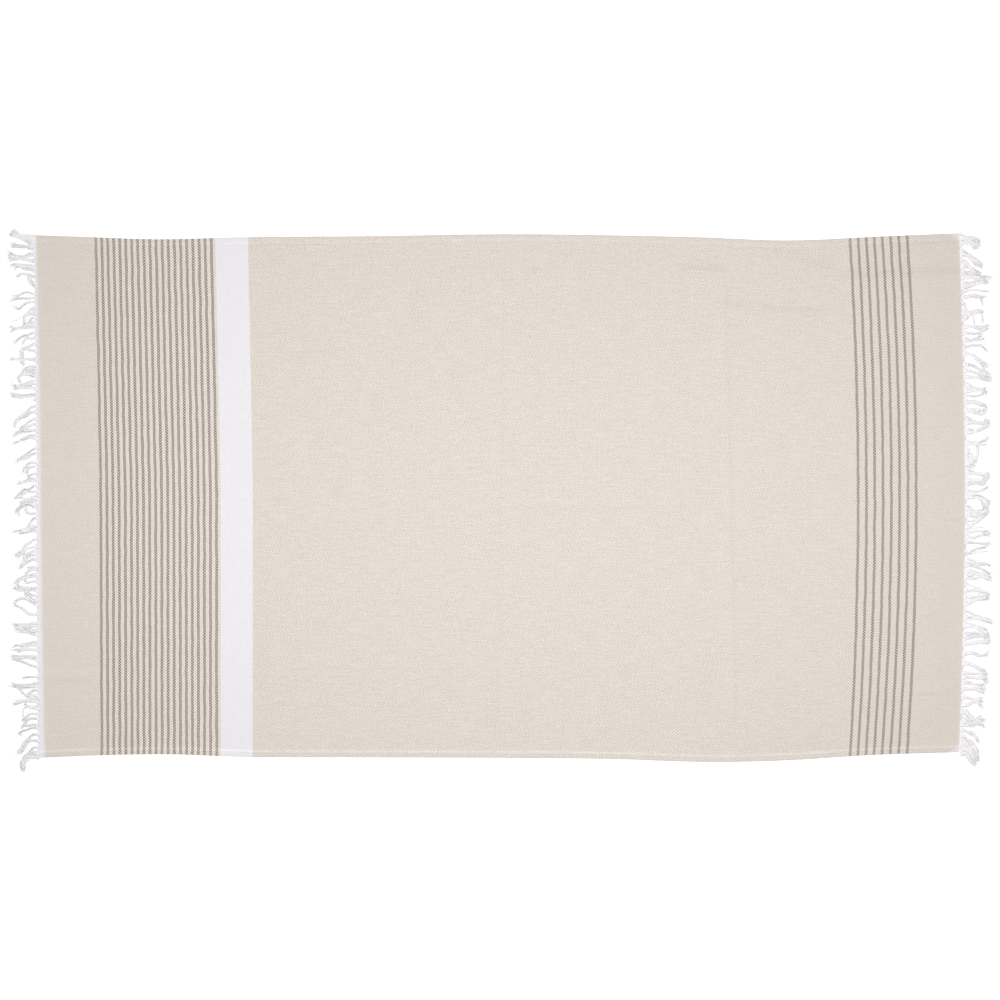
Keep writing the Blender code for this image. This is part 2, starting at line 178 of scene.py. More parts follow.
LEFT_STRANDS = strands(
    (6, 1, 503, 15, 505, 30, 505, 38, 511, 47, 520),
    (7, 1, 500, 15, 503, 30, 504, 40, 510, 50, 517),
    (7, 1, 496, 15, 500, 30, 503, 42, 508, 52, 514),
    (7, 1, 491, 15, 497, 28, 502, 40, 506, 53, 510),
    (7, 1, 486, 12, 491, 24, 498, 33, 502, 42, 505, 54, 507),
    (5, 1, 486, 15, 485.5, 30, 486, 40, 488.5, 55, 493),
    (5, 1, 481, 15, 483, 35, 483, 55, 485),
    (5, 1, 475, 10, 479, 18, 481),
    (7, 2, 472, 10, 471, 17, 467, 25, 464, 40, 466, 58, 475),
    (6, 2, 468, 10, 467.5, 18, 464.5, 27, 463, 42, 465, 57, 470),
    (6, 2, 456, 10, 457.5, 17, 460, 27, 462, 42, 463, 58, 465),
    (7, 2, 452, 10, 456, 16, 458, 25, 460.5, 40, 460, 57, 457),
    (6, 1, 447, 15, 447, 35, 449, 45, 449, 52, 445),
    (6, 2, 440, 10, 444, 25, 444.5, 38, 445, 46, 439),
    (5, 1, 434, 8, 438, 16, 439, 22, 441, 32, 445),
    (6, 1, 421, 8, 427, 17, 430.5, 28, 431, 35, 427, 41, 424),
    (7, 1, 404, 6, 410, 12, 417, 13, 424, 13, 430),
    (6, 1, 410, 8, 413, 13, 418, 14, 428),
    (6, 1, 415, 7, 416, 11, 420, 12, 429),
    (5, 1, 393, 7, 392, 12, 395, 18, 396, 25, 394, 35, 389.5, 52, 386),
    (5, 1, 384, 12, 384, 28, 384, 38, 382.5, 47, 380, 55, 376.5),
    (5, 2, 378, 8, 377, 17, 375.5, 25, 371, 31, 365, 35, 363, 48, 372),
    (6, 1, 369, 8, 364, 15, 356, 22, 350, 23, 343, 22, 333, 24, 328),
    (6, 1, 362, 8, 358.5, 16, 352.5, 21.5, 348, 22.5, 340, 23, 330),
    (5, 1, 356, 8, 355, 15, 353, 21, 348),
    (1, 1, 352, 24, 350, 38, 342, 53, 338),
    (6, 1, 347, 8, 346, 13, 340, 16, 336, 20, 332, 25, 328),
    (5, 1, 340, 8, 338, 15, 333, 22, 329),
    (6, 1, 333, 12, 331, 20, 329, 30, 327),
    (2, 1, 330, 20, 328, 40, 326, 47, 330, 55, 332),
    (6, 4, 328, 10, 330, 22, 329, 33, 327, 44, 325, 53, 321),
    (8, 5, 325, 10, 329, 20, 328, 30, 327, 40, 325, 47, 323, 54, 322),
    (6, 1, 319, 8, 317, 15, 314, 25, 311.5, 31, 308, 36, 303, 48, 295),
    (5, 1, 309, 5, 308, 8, 305, 15, 307.5, 20, 306, 24, 301, 26, 293),
    (6, 1, 298, 10, 293, 15, 290, 25, 288, 29, 284, 30, 275, 26, 250),
    (6, 1, 283, 10, 283, 18, 286, 25, 285, 26, 275, 25, 262, 24, 251),
    (5, 1, 268, 10, 267, 20, 266, 40, 267, 55, 270),
    (4, 1, 264, 20, 265, 40, 266, 56, 265.5),
    (6, 1, 255, 8, 252.5, 14, 252, 22, 247, 26, 241, 30, 236),
    (6, 1, 249, 8, 248, 16, 246, 24, 240, 31, 236),
    (6, 1, 244, 8, 243.5, 16, 241, 26, 237.5, 33, 234),
    (6, 1, 238, 8, 239, 18, 237.5, 28, 236, 34, 232),
    (6, 1, 231, 8, 233, 15, 236, 25, 236, 32, 234, 35, 230, 28, 217),
    (5, 1, 229, 8, 224, 15, 222, 25, 218, 34, 215, 52, 218),
    (5, 1, 222, 10, 217, 25, 214, 36, 213, 46, 216),
    (6, 1, 210, 10, 211, 25, 211.5, 40, 209, 50, 209),
    (5, 1, 198, 10, 198.5, 20, 197, 30, 196.5, 40, 198, 55, 203.5),
    (5, 1, 195, 10, 195.5, 20, 193.5, 30, 192.5, 46, 195, 51, 192),
    (4, 1, 186, 7, 189),
    (6, 1, 177, 8, 174, 20, 163, 28, 158, 35, 152, 41, 143, 40, 131),
    (6, 1, 165, 10, 163, 20, 156, 30, 152, 38, 146, 40, 138),
    (6, 1, 152, 10, 148, 18, 142, 25, 136, 32, 132, 38, 130),
    (6, 1, 143, 10, 138, 18, 133, 25, 131, 33, 128),
    (7, 2, 130, 15, 127, 30, 126, 40, 122, 48, 121),
    (3, 1, 128, 20, 126, 38, 121, 47, 113),
    (5, 1, 120, 10, 119, 20, 115, 30, 110, 36, 109),
    (5, 1, 113, 15, 114, 25, 110, 35, 107, 49, 102),
    (6, 2, 97, 10, 90, 18, 83, 25, 78, 30, 75, 38, 68, 40, 61),
    (6, 1, 88, 8, 82, 15, 77, 22, 75, 28, 73, 39, 70),
    (6, 1, 67, 10, 66, 17, 63, 20, 58, 24, 53, 24, 42),
    (6, 1, 60, 10, 58, 16, 54, 18, 45, 22, 41),
    (5, 1, 47, 10, 43, 15, 40, 13, 35),
    (6, 2, 33, 12, 36, 18, 33, 25, 29, 33, 27, 39, 30),
    (4, 1, 30, 10, 31, 25, 28, 33, 26, 39, 22),
    (6, 1, 25, 5, 22, 10, 17, 18, 14, 23, 15, 35, 3, 45, -5),
    (5, 1, 10, 10, 10, 18, 10, 25, 5, 30, 1, 38, -1, 45, -4),
    (2, 1, 2, 10, 0, 20, -3, 38, -1),
    (5, 1, -3, 12, -5, 22, -7, 30, -11, 36, -13),
    (5, 1, -9, 15, -9, 28, -12),
    (2, 1, -19, 15, -16, 32, -24, 32, -43),
    (9, 1, -22, 5, -18, 10, -15, 15, -14, 27, -17, 36, -25, 41, -37),
    (6, 1, -31, 8, -32, 15, -31, 18, -29, 20, -24, 18, -18),
    (6, 1, -45, 3, -41, 8, -45, 12, -52, 16, -58, 22, -62, 35, -65),
    (6, 1, -54, 5, -57, 12, -60, 20, -63, 40, -66, 52, -69),
    (6, 1, -62, 10, -63, 20, -66, 34, -68),
    (5, 1, -65, 8, -66, 17, -68, 25, -70, 38, -70),
    (6, 1, -79, 5, -83, 12, -88, 23, -95, 25, -102, 30, -105, 45, -116),
    (6, 1, -95, 10, -98, 20, -100, 25, -108, 35, -115, 40, -121),
    (6, 1, -106, 5, -105, 12, -108, 18, -111, 23, -115, 26, -136),
    (6, 1, -112, 8, -113, 15, -116, 20, -119, 27, -128, 33, -141),
    (6, 1, -120, 8, -121, 15, -125, 22, -130, 30, -136, 38, -137),
    (5, 1, -134, 8, -135, 15, -137, 20, -138),
    (6, 1, -138, 8, -141, 15, -144, 20, -147, 21, -152, 35, -160, 44, -169),
    (6, 1, -150, 8, -150, 15, -153, 20, -157, 22, -170),
    (5, 1, -153, 15, -155, 25, -158, 30, -160, 36, -165, 35, -171),
    (5, 1, -163, 8, -163, 15, -166, 22, -166),
    (6, 5, -175, 10, -176, 20, -176, 30, -173.5, 40, -172, 49, -172),
    (6, 5, -179, 12, -180, 25, -181, 35, -179, 42, -176, 50, -176),
    (6, 1, -190, 8, -190, 13, -187, 18, -184, 21, -178),
    (6, 1, -198, 8, -198, 14, -193, 20, -190, 21, -180),
    (7, 1, -209, 8, -203, 15, -198, 20, -196, 30, -196.5, 41, -203, 48, -206),
    (7, 1, -224, 5, -227, 13, -227, 25, -217, 30, -213, 38, -210, 48, -208),
    (8, 1, -243, 8, -244, 13, -246, 30, -247, 40, -247, 48, -244),
    (7, 1, -249, 10, -249, 18, -249.5, 32, -249.5, 45, -248),
    (7, 1, -258, 8, -257, 18, -254, 32, -252, 44, -250),
    (7, 1, -262, 8, -262, 14, -260, 22, -257, 32, -255, 44, -254),
    (6, 1, -265, 8, -265, 15, -262, 30, -260, 41, -258),
    (6, 1, -279, 10, -282, 20, -284, 30, -286, 38, -286, 46, -286),
    (4, 1, -283, 20, -286, 36, -288, 51, -291),
    (5, 1, -286, 10, -287, 20, -290, 32, -294, 51, -297),
    (5, 1, -295, 22, -295, 28, -297, 40, -303),
    (6, 1, -308, 20, -307, 35, -308, 54, -307),
    (6, 1, -316, 10, -312, 35, -311, 50, -312),
    (6, 1, -328, 8, -326, 15, -323, 22, -320, 30, -317, 50, -312),
    (5, 1, -346, 8, -348, 18, -348, 24, -350, 29, -353.5),
    (6, 1, -359, 5, -361, 10, -363, 30, -363, 38, -363, 43, -362, 50, -355),
    (2, 1, -360, 14, -363, 28, -361, 34, -356),
    (6, 1, -366, 20, -368, 30, -369, 40, -366, 47, -365, 52, -361),
    (6, 1, -371, 7, -375, 12, -379, 18, -383),
    (6, 1, -384, 8, -384, 18, -385, 22, -381, 28, -376, 32, -370, 38, -366),
    (5, 1, -388, 8, -388, 14, -391, 20, -395, 20, -405, 21, -411),
    (2, 1, -391, 20, -392, 37, -393, 47, -394),
    (7, 1, -397, 8, -395, 18, -392, 25, -394, 32, -397, 40, -400, 50, -400),
    (2, 1, -405, 15, -404, 25, -411, 25, -420, 26, -433),
    (6, 1, -409, 8, -407, 18, -403, 21, -398),
    (6, 1, -419, 8, -419, 14, -421, 18, -424, 23, -428, 31, -437),
    (6, 1, -428, 10, -428, 17, -431, 24, -441, 31, -448),
    (6, 1, -440, 15, -441, 29, -444),
    (6, 1, -446, 10, -446, 15, -449, 25, -452, 33, -457, 28, -460, 23, -461),
    (6, 1, -458, 8, -460, 12, -465, 24, -475, 28, -483, 32, -489, 40, -499),
    (6, 1, -471, 8, -471, 14, -472, 18, -477, 25, -490, 30, -496, 34, -499),
    (6, 1, -484, 5, -485, 15, -496, 22, -500, 29, -512, 29, -522, 27, -530),
    (6, 1, -490, 8, -494, 16, -499, 25, -506, 28, -518, 27, -531),
    (6, 1, -497, 12, -500, 25, -507, 26, -520, 25, -534),
    (6, 1, -503, 10, -504, 15, -507, 20, -510, 23, -515, 23, -524, 25, -531),
)

RIGHT_STRANDS = strands(
    (7, 1, 506, -8, 504, 0, 501, 8, 502, 13, 500.5, 20, 498, 28, 490),
    (7, 2, 502, -5, 499, 3, 497.5, 10, 497, 16, 495, 22, 492, 28, 488),
    (6, 1, 498, -5, 499.5, 0, 497, 10, 494, 15, 491, 20, 489.5, 27, 487),
    (6, 2, 493, -5, 493, 0, 492, 6, 491, 12, 490, 18, 488, 26, 481),
    (6, 2, 491, -5, 491.5, 5, 490, 10, 488.5, 14, 485, 18, 480, 19, 476),
    (6, 2, 489, -6, 489.5, 0, 489, 5, 488.5, 10, 486, 13, 482, 15, 476),
    (7, 1, 478, -5, 474.5, 0, 470.5, 7, 466, 13, 461.5, 20, 456, 33, 446),
    (7, 1, 473, -5, 470, 2, 466.5, 8, 461.5, 15, 455.5, 21, 450, 31, 443.5),
    (6, 1, 466, -2, 466, 4, 463, 10, 457.5, 14, 452.5, 18, 448.5, 30, 441.5),
    (6, 1, 459, -5, 456.5, 0, 452, 5, 446, 9, 442, 13, 438),
    (6, 1, 452, -3, 450.5, 2, 449, 5, 445, 8, 441.5, 12, 438.5),
    (6, 1, 448, 0, 448, 6, 444, 11, 440, 16, 437.5, 22, 434.5, 29, 430),
    (6, 1, 445, -4, 444.5, 3, 444, 8, 441.5, 13, 442, 14, 445.5),
    (6, 1, 436, 0, 435, 10, 434.5, 20, 432.5, 28, 429.5),
    (6, 1, 431, 0, 429, 10, 430, 26, 427.5, 40, 425.5, 47, 422, 46, 416),
    (6, 1, 427, 0, 425.5, 10, 426, 20, 424.5, 28, 422, 34, 421, 40, 421),
    (6, 1, 423, 0, 423, 12, 423, 22, 422.5, 30, 420.5, 38, 418),
    (6, 1, 417, -5, 415, 1, 413, 8, 413.5, 15, 416, 30, 418.5, 45, 417),
    (6, 1, 411, -4, 409, 2, 410, 10, 412, 20, 414, 30, 415.5, 38, 416.5),
    (5, 1, 404, -3, 403.5, 3, 405.5, 16, 411, 24, 413, 33, 414, 44, 411),
    (4, 1, 397, -5, 396.5, 1, 398.5, 8, 400, 17, 400, 33, 398, 48, 398),
    (6, 1, 387, 0, 387, 6, 389.5, 12, 390, 19, 390, 25, 387.5, 39, 386),
    (2, 1, 386, 15, 388, 30, 387, 35, 388.5, 39, 391),
    (5, 1, 384, 0, 385.5, 8, 386.5, 18, 386, 25, 385, 28, 381, 29, 366),
    (4, 1, 378, -4, 373, -4, 367, 0, 360, 4, 358, 16, 361.5, 33, 360),
    (6, 1, 366, -3, 363, 1, 358.5, 5, 355, 10, 357, 16, 360.5, 29, 361),
    (6, 1, 360, -1, 360, 3, 355, 8, 353, 19, 355.5, 25, 357, 33, 361),
    (5, 1, 356, 8, 356, 20, 359, 29, 360, 32, 357, 32, 352),
    (4, 1, 354, 12, 355, 25, 357, 29, 350, 30, 343, 30, 330),
    (3, 1, 350, 2, 352, 10, 354, 12, 346, 13, 339, 15, 331),
    (6, 1, 343, -4, 343.5, 1, 346, 4, 351, 7, 355, 13, 358.5),
    (6, 1, 328, 0, 329, 10, 329.5, 20, 330, 28, 329, 35, 330, 44, 334),
    (6, 2, 326, 8, 329, 16, 327.5, 22, 323.5, 28, 322, 36, 324, 43, 328),
    (5, 1, 320, 5, 317, 15, 316.5, 22, 319.5, 30, 323, 38, 328, 43, 332),
    (6, 1, 317, 0, 316.5, 8, 315.5, 15, 315.5, 21, 317.5, 35, 323, 42, 328),
    (5, 1, 308, 0, 306, 3, 303.5, 8, 303.5, 13, 305.5, 20, 309, 33, 318),
    (5, 1, 304, 0, 301, 6, 301, 12, 303, 18, 305.5, 30, 313.5),
    (4, 1, 301, 2, 301.5, 10, 302, 20, 303, 27, 304, 33, 307, 38, 310),
    (6, 1, 288, -1, 289.5, 5, 292, 20, 293, 28, 292, 37, 284, 38.5, 276),
    (4, 1, 285, 0, 289, 7, 291.5, 15, 292.5, 25, 292, 31, 290),
    (7, 2, 280, 0, 278, 4, 276.5, 10, 274.5, 22, 265.5, 33, 258.5, 46, 251),
    (6, 1, 278, 3, 277, 9, 274.5, 15, 270.5, 21, 265, 27, 260, 38, 248),
    (7, 2, 276, 0, 276, 6, 275, 12, 272.5, 24, 261.5, 34, 250, 41, 246),
    (7, 1, 257, 5, 256, 12, 254, 20, 249.5, 27, 245, 40, 239.5, 49, 233),
    (5, 1, 253, 6, 253, 13, 252, 21, 248, 28, 243.5, 34, 239, 42, 237),
    (4, 1, 247, 3, 246, 10, 243, 18, 240.5, 26, 239, 34, 238, 43, 236),
    (6, 1, 244, 5, 243, 12, 241.5, 20, 238.5, 28, 236.5, 50, 231),
    (6, 3, 233, 10, 232, 22, 231, 32, 231, 40, 229.5, 49, 227),
    (6, 1, 231, 8, 231, 18, 230.5, 27, 229, 34, 227, 42, 225, 51, 224),
    (4, 1, 219, 0, 219, 5, 217, 10, 214, 15, 211.5, 22, 209.5, 30, 209),
    (6, 1, 212, 3, 211, 10, 210.5, 18, 209, 28, 208.5, 35, 209.5, 41, 208),
    (2, 1, 210, 15, 209, 28, 209, 34, 212, 42, 215),
    (6, 1, 207, 5, 206.5, 12, 208, 20, 207.5, 28, 207, 33, 205, 42, 202),
    (6, 1, 203, 5, 204, 12, 206, 18, 206.5, 25, 206, 32, 203.5, 41, 201),
    (5, 1, 197, 5, 195.5, 12, 194.5, 18, 195, 25, 197, 32, 200, 42, 200.5),
    (7, 1, 185, 4, 184.5, 11, 184.5, 18, 183.5, 25, 181.5, 36, 177, 42, 176),
    (4, 1, 181, 5, 181.5, 12, 181.5, 19, 179.5, 26, 176.5, 39, 175),
    (5, 1, 170, 8, 170, 18, 170, 25, 169.5, 31, 168.5, 38, 172, 40, 176),
    (3, 1, 168, 12, 167, 20, 167, 24, 163.5, 26, 160),
    (5, 1, 166, 10, 165.5, 18, 165.5, 25, 167.5, 32, 167, 36, 168.5),
    (5, 1, 164, 8, 164.5, 15, 162.5, 28, 159, 35, 163.5, 37, 168, 39, 173),
    (6, 1, 157, 2, 154, 6, 150.5, 12, 147, 19, 144, 26, 144, 31, 147),
    (5, 2, 145, 6, 145, 14, 144.5, 24, 143, 31, 145, 36, 150, 40, 157),
    (6, 2, 143, 5, 143, 12, 143, 20, 142.5, 28, 142, 34, 143, 46, 149),
    (5, 2, 141, 8, 142.5, 20, 142, 30, 142, 36, 145, 42, 151),
    (6, 1, 131, 8, 130, 13, 129.5, 19, 131, 25, 133.5, 38, 141, 45, 147),
    (6, 1, 126, 5, 125, 10, 125.5, 17, 127, 24, 128.5, 36, 135, 47, 143),
    (6, 1, 122, 3, 122.5, 9, 125, 16, 128, 23, 130.5, 30, 134, 36, 139),
    (7, 1, 105, 5, 105.5, 12, 105.5, 20, 106, 28, 107.5, 34, 110, 46, 118),
    (6, 1, 104, 8, 104, 16, 103, 20, 98, 20.5, 88, 18, 75, 15.5, 64),
    (5, 1, 103, 8, 103, 15, 102, 18.5, 97, 19, 88, 18.5, 80, 14, 67),
    (5, 1, 102, 10, 104, 20, 105, 28, 107, 34, 108, 40, 108),
    (3, 1, 100, 10, 102.5, 20, 102, 28, 100.5, 40, 102),
    (6, 1, 96, 3, 91, 6, 85, 10, 80, 14, 76, 16, 70, 15, 65),
    (6, 1, 90, 3, 86, 7, 81, 11, 77, 14.5, 72, 15, 66),
    (6, 1, 84, 4, 80, 8, 76, 12, 72, 14, 67),
    (6, 1, 78, 4, 76, 9, 72, 13, 68, 15, 65),
    (6, 1, 73, 4, 71, 9, 69, 14, 66),
    (6, 1, 68, 4, 67, 9, 66, 14, 65),
    (6, 1, 63, 4, 63.5, 9, 64.5, 14, 65),
    (3, 1, 57, 3, 58.5, 8, 61.5, 12, 63.5),
    (5, 1, 53, 6, 55, 11, 57.5, 14, 61, 15.5, 65),
    (2, 1, 50, 10, 50.5, 15, 49.5),
    (6, 1, 47, 8, 46, 16, 46, 24, 45.5, 32, 45, 40, 45, 48, 46),
    (5, 2, 46, 12, 46, 24, 45, 33, 43, 40, 42, 46, 41),
    (6, 1, 44, 7, 46, 15, 45.5, 22, 43.5, 30, 41.5, 38, 40, 47, 40),
    (6, 1, 33, 8, 33, 16, 32.5, 25, 32, 32, 33.5, 39, 36.5, 46, 40),
    (5, 2, 31, 10, 32, 22, 32, 31, 35, 38, 39, 45, 41),
    (6, 1, 28, 5, 30, 12, 31.5, 20, 31.5, 29, 31.5, 36, 33, 43, 37),
    (6, 1, 22, 5, 24, 12, 26.5, 18, 26.5, 25, 24.5, 31, 24.5, 40, 31),
    (6, 1, 11, 8, 11, 15, 11, 25, 12, 32, 14.5, 38, 18, 41, 21),
    (6, 1, 9, 10, 10.5, 20, 11, 28, 13, 34, 16, 39, 19.5, 46, 19),
    (7, 1, 2, 5, 2, 12, 2.5, 20, 2.5, 31, -1, 41, -8, 48, -9),
    (6, 1, 1, 12, 1, 24, 0, 32, -5, 38, -11, 40, -17, 34, -30),
    (6, 1, 0, 10, 0, 20, 0, 28, -3, 33, -9, 35, -16, 30, -28),
    (4, 1, -1, 15, 1, 28, -1, 36, -6, 43, -10, 42, -16, 38, -21),
    (7, 1, -2, 5, -1.5, 12, -1.5, 19, -2, 28, -9, 30, -18, 27, -25),
    (4, 1, -14, 3, -17, 8, -22, 12, -26, 18, -27, 25, -26, 32, -24.5),
    (6, 1, -22, 3, -24, 7, -27.5, 13, -29, 22, -29.5, 37, -27, 44, -25),
    (6, 1, -28, 4, -30, 10, -29.5, 20, -28.5, 30, -28, 38, -26, 47, -26),
    (7, 1, -32, 4, -33, 8, -36.5, 14, -37, 21, -36, 28, -35, 38, -29),
    (6, 1, -36, 5, -36, 12, -38, 20, -37.5, 27, -37, 33, -34, 39, -30),
    (4, 1, -47, 7, -46.5, 13, -45, 18, -43.5, 24, -41, 30, -38),
    (6, 1, -57, 6, -55, 13, -50.5, 20, -45.5, 27, -41, 33, -37, 40, -31),
    (6, 1, -60, 4, -58, 15, -50, 20, -47, 26, -43, 38, -33, 45, -27),
    (2, 1, -63, 6, -61.5, 12, -61, 18, -59.5, 30, -58.5, 37, -59),
    (5, 3, -67, 8, -67.5, 18, -66, 30, -66, 40, -66.5, 48, -66),
    (4, 2, -69, 6, -68.5, 12, -67, 18, -65.5, 26, -66, 34, -66, 48, -66),
    (6, 1, -73, 3, -76, 8, -79, 13, -79, 18, -76.5, 30, -73, 48, -72),
    (5, 2, -75, 8, -78.5, 16, -78, 26, -73, 36, -71.5, 48, -71),
    (6, 2, -77, 6, -78.5, 12, -79.5, 19, -77, 27, -73, 36, -73, 48, -73.5),
    (6, 1, -84, 5, -87, 12, -88, 20, -89, 30, -90, 40, -90, 48, -89),
    (4, 1, -87, 10, -88.5, 22, -89.5, 34, -91, 40, -94.5, 46, -92),
    (6, 1, -106, 3, -107, 7, -106, 10, -103, 19, -100, 35, -97, 43, -95),
    (2, 1, -109, 8, -111, 15, -107, 25, -106, 36, -105, 45, -103),
    (6, 1, -121, 6, -121.5, 13, -124, 18, -127.5, 31, -127, 42, -131, 48, -137),
    (5, 1, -123, 6, -123.5, 12, -126, 19, -129, 27, -129.5, 36, -127),
    (6, 1, -125, 6, -126, 12, -127.5, 18, -130, 25, -130.5, 38, -129.5),
    (6, 1, -131, 8, -132.5, 15, -134.5, 27, -139, 33, -142, 40, -146, 51, -152),
    (4, 1, -133, 10, -134, 20, -137, 28, -140, 34, -145, 40, -150, 49, -156),
    (6, 1, -142, 6, -142, 12, -143.5, 18, -146, 25, -147.5, 38, -152, 49, -156),
    (5, 1, -145, 8, -146, 16, -148, 26, -150, 34, -152, 42, -155, 50, -160),
    (4, 1, -150, 12, -148, 24, -148, 36, -149, 44, -149, 48, -145),
    (5, 1, -155, 5, -153.5, 16, -149.5, 22, -149.5, 30, -151.5, 49, -160),
    (6, 1, -157, 5, -157.5, 12, -158, 17, -157.5, 28, -153, 39, -159, 51, -161),
    (5, 1, -168, 6, -171, 12, -173, 18, -175, 24, -178, 36, -183.5, 45, -188),
    (4, 1, -178, 5, -180, 10, -179, 16, -179, 23, -181, 38, -185, 46, -190),
    (6, 1, -181, 8, -181.5, 18, -181.5, 26, -182.5, 32, -184.5, 46, -192),
    (6, 1, -192, 8, -192.5, 16, -193, 22, -190, 28, -188, 46, -188),
    (6, 2, -194, 8, -194, 16, -194, 24, -192.5, 32, -191, 45, -193),
    (6, 1, -205, 6, -203, 12, -199, 18, -197.5, 26, -198, 35, -197.5, 46, -197),
    (6, 1, -208, 3, -206.5, 7, -204, 12, -200.5, 23, -195.5, 30, -194, 46, -196),
    (6, 1, -220, 5, -223, 10, -226.5, 16, -230, 23, -230.5, 38, -235, 50, -239),
    (6, 1, -231, 8, -232.5, 16, -233, 26, -233.5, 36, -237, 51, -241),
    (6, 1, -233, 5, -234, 12, -235, 20, -236, 28, -237.5, 43, -242, 51, -243),
    (6, 1, -235, 10, -236, 20, -234.5, 30, -235.5, 40, -239, 51, -242),
    (6, 1, -243, 3, -245.5, 9, -247.5, 16, -249, 30, -252.5, 36, -257, 44, -259),
    (6, 1, -246, 8, -248.5, 16, -250.5, 24, -253.5, 31, -257, 46, -277),
    (5, 1, -248, 10, -249.5, 20, -252, 29, -256, 36, -261, 41, -264, 47, -269),
    (6, 1, -250, 8, -250, 15, -252, 22, -255, 28, -258.5, 33, -263, 38, -275),
    (6, 1, -263, 5, -263.5, 12, -262, 18, -262, 24, -264, 33, -271, 37, -275),
    (6, 1, -268, 5, -267.5, 11, -265.5, 18, -265.5, 25, -268, 31, -271, 44, -272),
    (5, 1, -276, 3, -274.5, 8, -272, 14, -270.5, 20, -269.5, 28, -270, 41, -268),
    (6, 1, -283, 5, -282, 12, -280.5, 20, -279.5, 30, -279, 40, -278.5, 48, -278),
    (5, 2, -285, 8, -282.5, 18, -280.5, 30, -280.5, 48, -280.5),
    (6, 1, -287, 6, -284, 13, -282, 22, -282, 34, -282, 48, -283),
    (6, 1, -302, 5, -300.5, 11, -301, 25, -305, 32, -305, 40, -301, 42, -297),
    (6, 1, -305, 5, -302.5, 10, -302.5, 16, -305, 22, -307, 35, -306, 43, -308.5),
    (7, 1, -317, 3, -321, 8, -323.5, 14, -325.5, 20, -328.5, 32, -336, 40, -340),
    (5, 1, -319, 5, -322.5, 13, -326, 21, -330, 29, -335, 36, -340, 40, -346),
    (6, 1, -322, 4, -323.5, 10, -326, 17, -329.5, 23, -334, 34, -342, 38, -348),
    (6, 1, -340, 6, -340.5, 15, -341, 23, -341.5, 31, -342, 38, -342, 41, -337),
    (4, 1, -342, 12, -341.5, 24, -342, 32, -343.5, 38, -348),
    (4, 1, -347, 14, -348.5, 28, -350.5, 37, -352.5, 44, -353),
    (6, 1, -348, 6, -348.5, 14, -349, 22, -349, 30, -349.5, 38, -350, 44, -349),
    (5, 1, -350, 10, -349.5, 20, -350.5, 29, -352, 36, -355.5, 44, -357),
    (4, 1, -356, 4, -356.5, 9, -358.5, 15, -361, 22, -362.5, 39, -359, 46, -358.5),
    (6, 1, -359, 5, -360, 12, -361.5, 20, -363, 29, -363.5, 38, -364.5),
    (6, 1, -370, 6, -371, 13, -370.5, 22, -370, 31, -371, 40, -372),
    (6, 1, -372, 8, -372, 15, -372, 22, -374.5, 28, -377, 34, -379, 39, -379),
    (5, 1, -385, -3, -386, 2, -387, 6, -388.5, 11, -391, 23, -389, 29, -384),
    (5, 1, -388, 4, -389, 12, -391.5, 20, -391, 27, -389, 33, -390),
    (4, 1, -401, 5, -398, 14, -394, 22, -391, 26, -393, 30, -398),
    (6, 1, -403, -2, -403, 3, -401, 7, -397.5, 12, -395, 26, -394, 33, -395),
    (6, 1, -405, 2, -402, 8, -399, 14, -397, 19, -396.5, 27, -404, 31, -409),
    (6, 1, -408, -4, -411, 1, -415, 5, -420, 13, -428.5, 20, -428, 30, -420),
    (6, 1, -412, -3, -415.5, 2, -420, 5, -425, 9, -429.5, 27, -430.5, 39, -430),
    (6, 1, -416, -3, -419, 1, -423, 4, -428, 9, -431, 25, -428, 29, -422),
    (4, 1, -424, -4, -428, 1, -431, 8, -431.5, 16, -431.5, 29, -437),
    (6, 1, -436, 0, -436, 8, -437, 15, -436.5, 22, -434.5, 38, -430.5),
    (5, 1, -439, 0, -439.5, 7, -439.5, 14, -438.5, 28, -438, 32.5, -448),
    (6, 1, -442, 0, -442.5, 8, -443, 14, -441, 20, -439, 30, -441, 33, -447),
    (6, 1, -447, -4, -451.5, 1, -453.5, 6, -455, 11, -456.5, 19, -466, 22, -477),
    (5, 1, -449, -2, -453.5, 4, -457, 10, -459.5, 15, -463, 18, -468, 23, -477),
    (6, 1, -455, -6, -461, -1, -467, 5, -471, 10, -475, 14, -481, 25, -500),
    (6, 1, -457, -5, -463, 0, -469, 6, -473, 11, -478, 14, -485, 20, -498),
    (6, 1, -463, -7, -470.5, -3, -475, 2, -479, 6, -482.5, 9, -488, 21, -511),
    (6, 1, -466, -6, -472.5, -1, -477.5, 4, -482, 8, -490, 9, -498, 20, -513),
    (6, 1, -475, 0, -482, 7, -484, 13, -484, 17, -489, 20, -496, 22, -514),
    (7, 1, -479, -6, -483.5, 1, -486, 6, -490, 10, -497, 14, -505, 22, -514),
    (7, 1, -484, -6, -486.5, 1, -489.5, 6, -495, 10, -503, 15, -510, 20, -512),
    (7, 1, -488, -5, -490, 1, -494, 5, -500, 9, -507, 14, -513, 18, -518),
    (7, 1, -492, -5, -494.5, 0, -499, 4, -505, 8, -511, 13, -515.5, 19, -519),
    (6, 1, -496, -4, -498, 1, -503, 5, -509, 10, -513.5, 17, -518),
)


